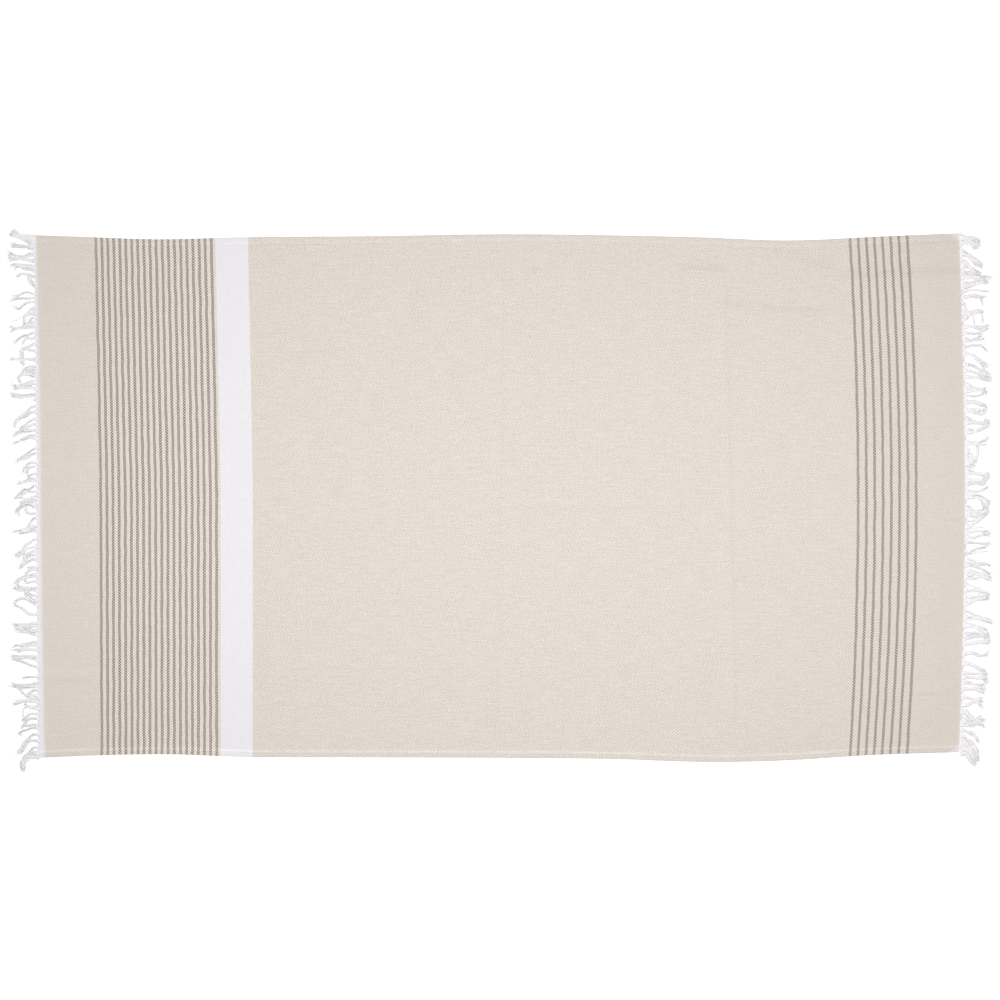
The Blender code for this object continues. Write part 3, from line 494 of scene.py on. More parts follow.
def smooth_read(rows: Sequence[NamedTuple], column: str, place: np.ndarray) -> np.ndarray:
    """Read one column of a table at places along the towel, on a smooth curve.

    Args:
        rows: The table, in rising order of `along`.
        column: The column's name.
        place: Places along the towel, in metres.

    Returns:
        The column's values there, in the table's own unit.
    """
    places = np.array([row.along for row in rows]) * MM
    values = np.array([getattr(row, column) for row in rows], dtype=float)
    slopes = np.gradient(values, places)
    i = np.clip(np.searchsorted(places, place) - 1, 0, len(places) - 2)
    span = places[i + 1] - places[i]
    t = np.clip((place - places[i]) / span, 0.0, 1.0)
    return (
        (2 * t**3 - 3 * t**2 + 1) * values[i]
        + (t**3 - 2 * t**2 + t) * span * slopes[i]
        + (3 * t**2 - 2 * t**3) * values[i + 1]
        + (t**3 - t**2) * span * slopes[i + 1]
    )


def ease(t: np.ndarray) -> np.ndarray:
    """Smooth step from 0 to 1 as t goes from 0 to 1."""
    t = np.clip(t, 0.0, 1.0)
    return t * t * (3 - 2 * t)


@dataclass(frozen=True)
class TowelPlan:
    """Sizes of the towel and where each woven place lies on the floor."""

    length: float = 1.800
    width: float = 1.005
    wave_height: float = 0.0007
    wave_length: float = 0.110
    wave_squeeze: float = 0.7
    wave_lot: float = 4.2
    wave_share: float = 0.35
    wave_rim: float = 0.05
    crease_fade: float = 0.040
    crease_slack: float = 2.4

    @property
    def half_length(self) -> float:
        """Half the length of the woven cloth."""
        return self.length / 2

    @property
    def half_width(self) -> float:
        """Half the width of the woven cloth."""
        return self.width / 2

    def weft_shift(self, u: np.ndarray, v: np.ndarray) -> np.ndarray:
        """How far the weft line through u is carried along the towel at v."""
        upper = smooth_read(WEFT_LINES, "upper", u)
        lower = smooth_read(WEFT_LINES, "lower", u)
        power = smooth_read(WEFT_LINES, "power", u)
        return np.where(v > 0, upper, lower) * MM * np.abs(v / self.half_width) ** power

    def edge_shift(self, u: np.ndarray, v: np.ndarray) -> np.ndarray:
        """How far the warp line through v is carried outwards at u."""
        upper = smooth_read(LONG_EDGES, "upper", u)
        lower = smooth_read(LONG_EDGES, "lower", u)
        return np.where(v > 0, upper, lower) * MM * v / self.half_width

    def place(self, u: np.ndarray, v: np.ndarray) -> tuple[np.ndarray, np.ndarray]:
        """Where the woven place (u, v) lies on the floor plan, as x and y."""
        return u + self.weft_shift(u, v), v + self.edge_shift(u, v)

    def creased(self, column: str, u: np.ndarray, v: np.ndarray) -> np.ndarray:
        """The fold marks' rise or painted shade at (u, v), which the column names."""
        total = np.zeros(np.broadcast(u, v).shape)
        for crease in CREASES:
            across, along = (u, v) if crease.runs is Runs.ACROSS else (v, u)
            at = crease.at + crease.slant * (along / MM - crease.start)
            side = (across / MM - at) / crease.half
            side = -side if crease.runs is Runs.ACROSS else side
            side = np.clip(1 - (np.where(side > 0, side / self.crease_slack, side)) ** 2, 0, 1)
            from_end = np.minimum(along - crease.start * MM, crease.stop * MM - along)
            total += getattr(crease, column) * side**2 * ease(from_end / self.crease_fade)
        return total

    def waves_lift(self, u: np.ndarray, v: np.ndarray) -> np.ndarray:
        """Low, wide waves of a cloth that was smoothed out by hand, nil at its rim."""
        u, v = np.broadcast_arrays(u, v)
        long, short = self.wave_length, self.wave_length * self.wave_squeeze
        raw = [
            noise.noise(Vector((a / long, b / short, self.wave_lot)))
            for a, b in zip(u.ravel(), v.ravel())
        ]
        height = np.clip(np.array(raw).reshape(u.shape) + self.wave_share, 0.0, None)
        rim = np.minimum(self.half_length - np.abs(u), self.half_width - np.abs(v))
        return height * self.wave_height * ease(rim / self.wave_rim)

    def lift(self, u: np.ndarray, v: np.ndarray) -> np.ndarray:
        """How far the cloth's underside stands off the floor at (u, v)."""
        return self.creased("rise", u, v) * MM + self.waves_lift(u, v)


PLAN = TowelPlan()


class Value:
    """A shader socket that takes part in plain arithmetic.

    A comparison gives 1 where it holds, else 0, and a remainder is never negative.
    """

    def __init__(self, bench: "Bench", socket: bpy.types.NodeSocket) -> None:
        """Keep the socket and the bench that its followers are made on."""
        self.bench = bench
        self.socket = socket

    def _do(self, operation: str, *others: Any) -> "Value":
        """Add a Math node with this value as its first input."""
        return self.bench.math(operation, self, *others)

    def __rsub__(self, other: Any) -> "Value":
        """other - self."""
        return self.bench.math("SUBTRACT", other, self)

    def __rtruediv__(self, other: Any) -> "Value":
        """other / self."""
        return self.bench.math("DIVIDE", other, self)

    __add__ = __radd__ = partialmethod(_do, "ADD")
    __sub__ = partialmethod(_do, "SUBTRACT")
    __mul__ = __rmul__ = partialmethod(_do, "MULTIPLY")
    __truediv__ = partialmethod(_do, "DIVIDE")
    __mod__ = partialmethod(_do, "FLOORED_MODULO")
    __pow__ = partialmethod(_do, "POWER")
    __abs__ = partialmethod(_do, "ABSOLUTE")
    __lt__ = partialmethod(_do, "LESS_THAN")
    __gt__ = partialmethod(_do, "GREATER_THAN")
    floor = partialmethod(_do, "FLOOR")
    fract = partialmethod(_do, "FRACT")
    sine = partialmethod(_do, "SINE")
    cosine = partialmethod(_do, "COSINE")
    least = partialmethod(_do, "MINIMUM")
    most = partialmethod(_do, "MAXIMUM")

    def clamp(self) -> "Value":
        """Kept between 0 and 1."""
        return self.most(0.0).least(1.0)

    def ease(self) -> "Value":
        """Smooth step from 0 to 1."""
        t = self.clamp()
        return t * t * (3 - 2 * t)

    def between(self, low: float, high: float) -> "Value":
        """1 where self lies between low and high, else 0."""
        return (self > low) * (self < high)

    def near(self, place: float, half: float) -> "Value":
        """1 at the place, easing to 0 at half away from it on either side."""
        return (1 - abs(self - place) / half).ease()


def blend(share: Any, low: Any, high: Any) -> Value:
    """Number that goes from low to high as share goes from 0 to 1."""
    return low + share * (high - low)


class Bench:
    """One node tree, and the one way that nodes are put in it."""

    def __init__(self, tree: bpy.types.NodeTree) -> None:
        """Keep the tree that the nodes go in."""
        self.tree = tree

    def node(
        self, kind: str, inputs: Optional[dict[Any, Any]] = None, **settings: Any
    ) -> bpy.types.Node:
        """Add a node.

        Args:
            kind: The node's type.
            inputs: Values or links of its sockets, by name or number.
            settings: Its properties, which are set first.

        Returns:
            The node.
        """
        made = self.tree.nodes.new(kind)
        for name, value in settings.items():
            setattr(made, name, value)
        for key, value in (inputs or {}).items():
            self.plug(self.socket(made, key), value)
        return made

    @staticmethod
    def socket(node: bpy.types.Node, key: Any) -> bpy.types.NodeSocket:
        """The node's input with this number, or the one in use with this name."""
        if isinstance(key, int):
            return node.inputs[key]
        return next(s for s in node.inputs if s.enabled and s.name == key)

    @staticmethod
    def output(node: bpy.types.Node) -> bpy.types.NodeSocket:
        """The node's first output in use."""
        return next(s for s in node.outputs if s.enabled)

    def plug(self, socket: bpy.types.NodeSocket, value: Any) -> None:
        """Link a value, node or socket to the socket, or set a plain value on it."""
        if isinstance(value, Value):
            value = value.socket
        if isinstance(value, bpy.types.Node):
            value = self.output(value)
        if isinstance(value, bpy.types.NodeSocket):
            self.tree.links.new(value, socket)
        elif socket.type == "VECTOR":
            socket.default_value = value[:3]
        else:
            socket.default_value = value

    def value(self, node: bpy.types.Node, name: str) -> Value:
        """A node's output, ready for arithmetic."""
        return Value(self, next(s for s in node.outputs if s.enabled and s.name == name))

    def math(self, operation: str, *terms: Any) -> Value:
        """Add a Math node on these terms."""
        made = self.node("ShaderNodeMath", dict(enumerate(terms)), operation=operation)
        return Value(self, made.outputs[0])

    def vector(self, x: Any, y: Any, z: Any = 0.0) -> bpy.types.NodeSocket:
        """A vector from three numbers."""
        return self.node("ShaderNodeCombineXYZ", {0: x, 1: y, 2: z}).outputs[0]

    def vector_math(self, operation: str, *terms: Any) -> bpy.types.NodeSocket:
        """Add a Vector Math node on these terms."""
        keys = (0, "Scale") if operation == "SCALE" else (0, 1)
        made = self.node("ShaderNodeVectorMath", dict(zip(keys, terms)), operation=operation)
        return self.output(made)

    def field(self, name: str) -> Value:
        """A number that the geometry carries under this name."""
        made = self.node("GeometryNodeInputNamedAttribute", {"Name": name}, data_type="FLOAT")
        return self.value(made, "Attribute")

    def store(self, geometry: Any, name: str, domain: str, number: Any) -> bpy.types.Node:
        """Make the geometry carry a number under this name."""
        return self.node(
            "GeometryNodeStoreNamedAttribute",
            {"Geometry": geometry, "Name": name, "Value": number},
            data_type="FLOAT",
            domain=domain,
        )

    def unevenness(self, x: Any, y: Any, detail: float = 1.0) -> Value:
        """Smooth noise at (x, y) in its own grains, mostly between -0.5 and 0.5."""
        grain = self.node(
            "ShaderNodeTexNoise",
            {"Vector": self.vector(x, y), "Scale": 1.0, "Detail": detail},
            noise_dimensions="2D",
        )
        return (self.value(grain, "Fac") - 0.5) * 2

    def mix(self, share: Any, low: Any, high: Any) -> bpy.types.NodeSocket:
        """Colour that goes from low to high as share goes from 0 to 1."""
        terms = {"Factor": share, "A": low, "B": high}
        return self.output(self.node("ShaderNodeMix", terms, data_type="RGBA"))

    def tint(self, colour: Any, strength: Any) -> bpy.types.NodeSocket:
        """Colour times a number."""
        return self.vector_math("SCALE", colour, strength)


def linear(red: float, green: float, blue: float) -> tuple[float, float, float, float]:
    """Linear colour from screen values of 0 to 255."""
    shares = (level / 255 for level in (red, green, blue))
    steps = (s / 12.92 if s <= 0.04045 else ((s + 0.055) / 1.055) ** 2.4 for s in shares)
    return *steps, 1.0


def start_material(
    name: str, settings: dict[str, Any]
) -> tuple[bpy.types.Material, Bench, bpy.types.Node]:
    """Make a material with plain values on its Principled shader.

    Args:
        name: The material's name.
        settings: The values, by the names of the shader's sockets.

    Returns:
        The material, its bench and its shader.
    """
    material = bpy.data.materials.new(name)
    material.use_nodes = True
    bench = Bench(material.node_tree)
    shader = material.node_tree.nodes["Principled BSDF"]
    for key, value in settings.items():
        bench.plug(shader.inputs[key], value)
    return material, bench, shader


@dataclass(frozen=True)
class CottonFinish:
    """What every cotton surface here shares: dull, with a little soft sheen."""

    roughness: float = 0.93
    sheen_weight: float = 0.05
    sheen_roughness: float = 0.6
    specular: float = 0.25

    def start(self, name: str) -> tuple[bpy.types.Material, Bench, bpy.types.Node]:
        """A new material with its bench and its Principled shader."""
        settings = {
            "Roughness": self.roughness,
            "Sheen Weight": self.sheen_weight,
            "Sheen Roughness": self.sheen_roughness,
            "Specular IOR Level": self.specular,
        }
        return start_material(name, settings)


@dataclass(frozen=True)
class StripeGroup:
    """Evenly set dark weft stripes: first pick, picks to a repeat, dark picks and count."""

    start: float
    repeat: int
    dark: int
    stripes: int


@dataclass(frozen=True)
class DiamondTwill(CottonFinish):
    """The weave: a small diamond twill of white warp and coloured weft, read from the UV map.

    The twill is charted on four shafts. Shafts and treadles both run 0 1 2 3 2 1, so a
    repeat is six picks by six ends, and the warp shows in small staggered diamonds.
    """

    map_name: str = "OFBake"
    fold_name: str = "fold_dulling"
    pick_pitch: float = 0.001070
    end_pitch: float = 0.00088
    turn: int = 3
    white: tuple = linear(249, 246, 249)
    beige: tuple = linear(229, 217, 204)
    taupe: tuple = linear(152, 137, 120)
    pick_drift: float = 0.9
    end_drift: float = 1.3
    lean: float = 2.0
    broad_scale: float = 30.0
    broad_lots: tuple = (3.0, 57.0, 91.0)
    haze: float = 0.7
    warp_share: float = 0.28
    warp_swing: float = 0.60
    bleed: float = 0.28
    # lift: painted light and shade of the weave's relief, lighter on the warp diamonds and darker on
    # the weft floats.
    lift: float = 0.12
    ruffle: float = 0.17
    ruffle_scale: float = 320.0
    ruffle_lot: float = 7.0
    streak: float = 0.06
    streak_scales: tuple = (27.0, 270.0)
    streak_lot: float = 41.0
    calm: float = 0.55
    plain_calm: float = 0.8
    # The next two set painted shade towards the right end.
    end_painted_shade: float = 0.022
    end_zone: tuple = (0.85, 0.1)
    gap_pale: float = 0.05
    left_header: float = 0.0085
    left_slant: float = 0.0040
    left_fade: float = 0.0090
    right_header: float = 0.0001
    right_fade: float = 0.0180
    frays: tuple = (0.022, 0.022)
    fray_reach: float = 0.021
    # The next eight set the hem's painted light and shade: shade at the upper rim, a highlight on a
    # ridge, a shadow along a hollow line.
    rim_width: float = 0.0045
    rim_painted_shade: float = 0.05
    ridge_depths: tuple = (0.0122, 0.0108)
    ridge_half: float = 0.0045
    ridge_painted_highlight: float = 0.055
    hollow_depths: tuple = (0.0068, 0.0149)
    hollow_half: float = 0.0022
    hollow_painted_shadow: float = 0.03
    band: tuple = (-0.5435, -0.4815)
    left_stripes: StripeGroup = StripeGroup(start=-0.7780, repeat=11, dark=5, stripes=20)
    right_stripes: StripeGroup = StripeGroup(start=0.6872, repeat=15, dark=5, stripes=8)
    wave_depth: float = 0.55
    crossing: float = 8.0
    # groove: painted shade between the yarns, darkest where the weave is lowest.
    groove: float = 0.84
    slub: float = 0.08
    slub_scales: tuple = (55.0, 3.7)
    relief: float = 0.00022

    def chart(self, pick: Value, end: Value) -> Value:
        """1 where the warp end lies over the pick, for whole numbers of both."""
        repeat = 2 * self.turn
        treadle = self.turn - abs(pick % repeat - self.turn)
        shaft = self.turn - abs(end % repeat - self.turn)
        return abs(shaft - treadle) > self.turn / 2

    def diamonds(self, pick: Value, end: Value, lean: Value) -> Value:
        """Soft share of warp that shows, greatest in the middle of each diamond.

        Args:
            pick: The pick's number.
            end: The warp end's number.
            lean: From -1 to 1, how far one diagonal of the diamonds outdoes the other.

        Returns:
            The share, from 0 to 1.
        """
        beat = math.pi / self.turn
        rising = ((pick + end - 1) * beat).cosine()
        falling = ((pick - end) * beat).cosine()
        swing = blend(lean * 0.5 + 0.5, falling, rising)
        return (self.warp_share - self.warp_swing * swing).clamp()

    def striped(self, pick: Value, group: StripeGroup) -> tuple[Value, Value]:
        """1 on the dark picks of a group of stripes, and 1 on the picks between them."""
        count = pick.floor() - round(group.start / self.pick_pitch)
        inside = count.between(-0.5, group.stripes * group.repeat - 0.5)
        dark = inside * (count % group.repeat < group.dark - 0.5)
        return dark, inside - dark

    def headed(self, along: Value, across: Value, plan: TowelPlan) -> Value:
        """1 in the white strip at each end, where the coloured weft stops, fading inwards."""
        height = across / plan.half_width
        corner = ((abs(across) - plan.half_width) / self.fray_reach + 1).clamp()
        left = self.left_header - self.left_slant * height - (along + plan.half_length)
        fray = blend(across > 0, *self.frays) * corner * corner
        right = self.right_header + fray - (plan.half_length - along)
        return ((left / self.left_fade).most(right / self.right_fade) + 0.5).ease()

    def painted_hem_shading(self, across: Value, plan: TowelPlan) -> Value:
        """Painted light on the hem: shade at the upper rim, a highlight on a ridge, a hollow's
        shadow.
        """
        depth = plan.half_width - abs(across)
        upper = across > 0
        rim = self.rim_painted_shade * upper * (1 - (depth / self.rim_width).ease())
        ridge_highlight = self.ridge_painted_highlight * depth.near(blend(upper, *self.ridge_depths), self.ridge_half)
        dip = blend(upper, *self.hollow_depths)
        hollow_shadow = self.hollow_painted_shadow * depth.near(dip, self.hollow_half)
        return 1 + ridge_highlight - rim - hollow_shadow

    def uneven(self, bench: Bench, along: Value, across: Value) -> Value:
        """How much lighter the cloth is from place to place: fine ruffle and warpwise streaks."""
        fine = self.ruffle_scale
        ruffle = bench.unevenness(along * fine + self.ruffle_lot, across * fine) * self.ruffle
        long, narrow = self.streak_scales
        streak = bench.unevenness(along * long + self.streak_lot, across * narrow) * self.streak
        return ruffle + streak

    def dress(self, piece: bpy.types.Object, plan: TowelPlan) -> None:
        """Give the piece the weave.

        Args:
            piece: A mesh whose UV map holds woven places as shares of length and width.
            plan: The sizes of the cloth.
        """
        material, bench, shader = self.start("diamond_twill")
        source = bench.node("ShaderNodeUVMap", uv_map=self.map_name)
        split = bench.node("ShaderNodeSeparateXYZ", {0: source})
        along = (bench.value(split, "X") - 0.5) * plan.length
        across = (bench.value(split, "Y") - 0.5) * plan.width
        wide, high = along * self.broad_scale, across * self.broad_scale
        pick_drift, end_drift, lean = (
            bench.unevenness(wide + lot, high) * reach
            for lot, reach in zip(self.broad_lots, (self.pick_drift, self.end_drift, self.lean))
        )
        pick = along / self.pick_pitch + pick_drift
        end = across / self.end_pitch + end_drift

        # The warp rises and falls along the towel, the weft across it; the higher shows.
        near_pick, near_end = (pick - 0.5).floor(), (end - 0.5).floor()
        whole_pick, whole_end = pick.floor(), end.floor()
        warp_rise = blend(
            (pick - 0.5 - near_pick).ease(),
            self.chart(near_pick, whole_end),
            self.chart(near_pick + 1, whole_end),
        )
        weft_fall = blend(
            (end - 0.5 - near_end).ease(),
            self.chart(whole_pick, near_end),
            self.chart(whole_pick, near_end + 1),
        )
        warp_crown = 1 - (2 * end.fract() - 1) ** 2
        weft_crown = 1 - (2 * pick.fract() - 1) ** 2
        crown_share = 1 - self.wave_depth
        warp_height = self.wave_depth * warp_rise + crown_share * warp_crown
        weft_height = self.wave_depth * (1 - weft_fall) + crown_share * weft_crown
        warp_over = ((warp_height - weft_height) * self.crossing + 0.5).clamp()
        height = warp_height.most(weft_height)

        # Colour of the weft by zone, with each yarn a little uneven along its run.
        band = along.between(*self.band)
        dark, between = self.striped(pick, self.left_stripes)
        dark = dark + self.striped(pick, self.right_stripes)[0]
        plain = (band + self.headed(along, across, plan)).clamp()
        warp_slub = self.slubs(bench, along, whole_end)
        weft_slub = self.slubs(bench, across, whole_pick)
        weft = bench.mix(plain, bench.mix(dark, self.beige, self.taupe), self.white)
        weft = bench.tint(weft, weft_slub)
        warp = bench.tint(bench.mix(self.bleed, self.white, weft), warp_slub)
        share = blend(self.haze, warp_over, self.diamonds(pick, end, lean)) - self.warp_share
        endwards = along / plan.half_length
        strength = 1 - self.calm * endwards**6 * (1 - dark)
        share = share * strength
        # Random tone of the yarns, plus painted light and shade: warp diamonds lighter, weft floats
        # darker.
        tone_and_painted_shade = self.uneven(bench, along, across) * strength + self.lift * share
        tone_and_painted_shade = tone_and_painted_shade * (1 - plain * self.plain_calm)
        # Painted shade towards the right end and along the fold marks.
        fold = bench.node("ShaderNodeAttribute", attribute_name=self.fold_name)
        start, fade = self.end_zone
        dull = self.end_painted_shade * ((endwards - start) / fade).clamp() + bench.value(fold, "Fac")
        # Painted shade between the yarns where the weave is low, times the hem's painted light and
        # shade.
        shade = blend(height, self.groove, 1.0) * self.painted_hem_shading(across, plan)
        shade = shade * (1 + tone_and_painted_shade + between * self.gap_pale - dull)
        colour = bench.tint(bench.mix(share + self.warp_share, weft, warp), shade)
        bench.plug(shader.inputs["Base Color"], colour)

        bump = {"Strength": 1.0, "Distance": self.relief, "Height": height}
        bench.plug(shader.inputs["Normal"], bench.node("ShaderNodeBump", bump))
        piece.data.materials.clear()
        piece.data.materials.append(material)

    def slubs(self, bench: Bench, run: Value, yarn: Value) -> Value:
        """How light each yarn is along its run: near 1, uneven, and different for each."""
        run_scale, yarn_step = self.slub_scales
        return 1 + bench.unevenness(run * run_scale, yarn * yarn_step, 2.0) * self.slub


def add_mesh(
    name: str, points: Sequence, faces: Sequence = (), edges: Sequence = ()
) -> bpy.types.Object:
    """Link a new mesh object made of points and faces or edges, shaded smooth.

    Args:
        name: The object's name.
        points: Rows of x, y and z.
        faces: Lists of point numbers.
        edges: Pairs of point numbers.

    Returns:
        The object.
    """
    mesh = bpy.data.meshes.new(name)
    mesh.from_pydata([tuple(p) for p in points], edges, faces)
    mesh.update()
    mesh.shade_smooth()
    made = bpy.data.objects.new(name, mesh)
    bpy.context.scene.collection.objects.link(made)
    return made


@dataclass(frozen=True)
class Cloth:
    """The woven cloth: one closed thin sheet with a doubled hem along each long side."""

    plan: TowelPlan = PLAN
    weave: DiamondTwill = DiamondTwill()
    thickness: float = 0.0011
    hem_width: float = 0.011
    hem_thickness: float = 0.0022
    pitch_along: float = 0.0092
    pitch_across: float = 0.0088
    end_depths: tuple = (0.0, 0.0004, 0.0012, 0.0035)
    hem_depths: tuple = (
        0.0, 0.0003, 0.0009, 0.0020, 0.0045, 0.0070, 0.0085, 0.0095, 0.0102, 0.0108,
        0.0113, 0.0120, 0.0135, 0.0160,
    )
    crease_steps: tuple = (-1.0, -0.6, -0.3, 0.0, 0.3, 0.6, 1.0)
    hem_slope: float = 0.0022
    rim_rounds: tuple = (0.0011, 0.0006)
    pucker: float = 0.00018
    pucker_beat: tuple = (620, 2.5, 37)
    stitch_depth: float = 0.0095
    groove: float = 0.0004
    groove_half: float = 0.0008

    def lines(self, half: float, pitch: float, rim: Sequence[float], runs: Runs) -> np.ndarray:
        """Grid lines from -half to half, close together at the rim and on the creases.

        Args:
            half: Half the size of the cloth that way.
            pitch: The widest step.
            rim: Depths of the lines at each edge.
            runs: The creases that these lines run along with.

        Returns:
            The places of the lines, rising.
        """
        fixed = [side * (half - depth) for depth in rim for side in (-1, 1)]
        for crease in CREASES:
            if crease.runs is runs:
                fixed += [(crease.at + step * crease.half) * MM for step in self.crease_steps]
        fixed = sorted(set(fixed))
        lines = [fixed[0]]
        for stop in fixed[1:]:
            steps = max(1, math.ceil((stop - lines[-1]) / pitch))
            lines += list(np.linspace(lines[-1], stop, steps + 1)[1:])
        return np.array(lines)

    def top_height(self, u: np.ndarray, v: np.ndarray) -> np.ndarray:
        """Height of the upper face over the underside's level at (u, v)."""
        depth = self.plan.half_width - np.abs(v)
        step = ease((depth - self.hem_width) / self.hem_slope + 0.5)
        height = self.hem_thickness + (self.thickness - self.hem_thickness) * step
        quick, swing, slow = self.pucker_beat
        puckers = self.pucker * np.sin(u * quick + swing * np.sin(u * slow)) * (1 - step)
        near = (depth - self.stitch_depth) / self.groove_half
        return height + puckers - self.groove * np.exp(-(near**2))

    def roundness(self, u: np.ndarray, v: np.ndarray) -> np.ndarray:
        """How full the rim is, from 0 at the very edge to 1 just inside it."""
        side, end = self.rim_rounds
        depth = np.minimum(
            (self.plan.half_width - np.abs(v)) / side,
            (self.plan.half_length - np.abs(u)) / end,
        )
        return np.sqrt(np.clip(1 - (1 - np.clip(depth, 0, 1)) ** 2, 0, 1))

    def build(self) -> bpy.types.Object:
        """Make the closed sheet with its UV map of woven places and its fold marks."""
        plan = self.plan
        us = self.lines(plan.half_length, self.pitch_along, self.end_depths, Runs.ACROSS)
        vs = self.lines(plan.half_width, self.pitch_across, self.hem_depths, Runs.ALONG)
        u, v = np.meshgrid(us, vs, indexing="ij")
        x, y = plan.place(u, v)
        lift = plan.lift(u, v)
        full = self.roundness(u, v)
        middle = self.top_height(u, v) / 2
        top = lift + middle * (1 + full)
        under = lift + middle * (1 - full)
        count = u.size
        number = np.arange(count).reshape(u.shape)
        inner = np.zeros(u.shape, bool)
        inner[1:-1, 1:-1] = True
        below = number.copy()
        below[inner] = count + np.arange(inner.sum())
        upper, lower = np.stack([x, y, top], -1), np.stack([x, y, under], -1)
        points = np.concatenate([upper.reshape(-1, 3), lower[inner]])
        faces = self.quads(number) + [face[::-1] for face in self.quads(below)]
        piece = add_mesh("cloth_woven", points, faces)
        shares = np.stack([u / plan.length + 0.5, v / plan.width + 0.5], -1)
        shares = np.concatenate([shares.reshape(-1, 2), shares[inner]])
        layer = piece.data.uv_layers.new(name=self.weave.map_name)
        corners = np.array([loop.vertex_index for loop in piece.data.loops])
        layer.uv.foreach_set("vector", shares[corners].astype(np.float32).ravel())
        # Painted shade along the fold marks, which the material reads.
        dull = plan.creased("dull", u, v)
        folds = piece.data.attributes.new(self.weave.fold_name, "FLOAT", "POINT")
        folds.data.foreach_set("value", np.concatenate([dull.ravel(), dull[inner]]))
        return piece

    @staticmethod
    def quads(number: np.ndarray) -> list:
        """Faces of a grid of point numbers, seen from above."""
        corners = (number[:-1, :-1], number[1:, :-1], number[1:, 1:], number[:-1, 1:])
        return np.stack([c.ravel() for c in corners], 1).tolist()

    def dress(self, piece: bpy.types.Object) -> None:
        """Weave the cloth."""
        self.weave.dress(piece, self.plan)


@dataclass(frozen=True)
class CottonYarn(CottonFinish):
    """Plain cotton thread, a little uneven from place to place."""

    name: str = "white_yarn"
    colour: tuple = linear(252, 250, 252)
    patchy: float = 0.05
    patch_scale: float = 420.0

    def make(self) -> bpy.types.Material:
        """Make the material, which reads Object coordinates."""
        material, bench, shader = self.start(self.name)
        place = bench.node("ShaderNodeTexCoord").outputs["Object"]
        grain = bench.node("ShaderNodeTexNoise", {"Vector": place, "Scale": self.patch_scale})
        light = 1 + (bench.value(grain, "Fac") - 0.5) * 2 * self.patchy
        bench.plug(shader.inputs["Base Color"], bench.tint(self.colour, light))
        return material


class Growth:
    """A Geometry Nodes tree with named numbers that turns a drawn path into thread."""

    def __init__(self, name: str, numbers: dict[str, float]) -> None:
        """Start the tree and give it one input for each number.

        Args:
            name: The tree's name.
            numbers: Its inputs with their values, in metres, turns or plain counts.
        """
        self.numbers = numbers
        self.tree = bpy.data.node_groups.new(name, "GeometryNodeTree")
        sockets = self.tree.interface
        sockets.new_socket("Geometry", in_out="INPUT", socket_type="NodeSocketGeometry")
        for number in numbers:
            sockets.new_socket(number, in_out="INPUT", socket_type="NodeSocketFloat")
        sockets.new_socket("Geometry", in_out="OUTPUT", socket_type="NodeSocketGeometry")
        self.bench = Bench(self.tree)
        self.given = self.bench.node("NodeGroupInput")

    def number(self, name: str) -> Value:
        """One of the tree's numbers."""
        return self.bench.value(self.given, name)

    def thread(self, curve: Any, width: Any, sides: int) -> bpy.types.Node:
        """Add the nodes that make a curve a capped thread, this wide and with these sides."""
        ring = {"Resolution": sides, "Radius": 0.5}
        profile = self.bench.node("GeometryNodeCurvePrimitiveCircle", ring)
        return self.bench.node(
            "GeometryNodeCurveToMesh",
            {"Curve": curve, "Profile Curve": profile, "Scale": width, "Fill Caps": True},
        )

    def finish(self, geometry: Any, material: bpy.types.Material) -> None:
        """End the tree in real mesh with one material."""
        real = self.bench.node("GeometryNodeRealizeInstances", {"Geometry": geometry})
        terms = {"Geometry": real, "Material": material}
        self.bench.node("NodeGroupOutput", {0: self.bench.node("GeometryNodeSetMaterial", terms)})

    def run(self, host: bpy.types.Object) -> None:
        """Replace the host's drawn path by what the tree makes of it."""
        modifier = host.modifiers.new(self.tree.name, "NODES")
        modifier.node_group = self.tree
        for item in self.tree.interface.items_tree:
            if item.name in self.numbers:
                modifier[item.identifier] = self.numbers[item.name]
        graph = bpy.context.evaluated_depsgraph_get()
        grown = bpy.data.meshes.new_from_object(host.evaluated_get(graph))
        host.modifiers.clear()
        drawn, host.data = host.data, grown
        bpy.data.meshes.remove(drawn)
        grown.shade_smooth()


class ThreadKind(NamedTuple):
    """Threads of a bunch: whose sizes they take, how finely they are drawn, what ends them."""

    name: str
    gather: str
    sides: int
    steps: int
    reach: Optional[str]


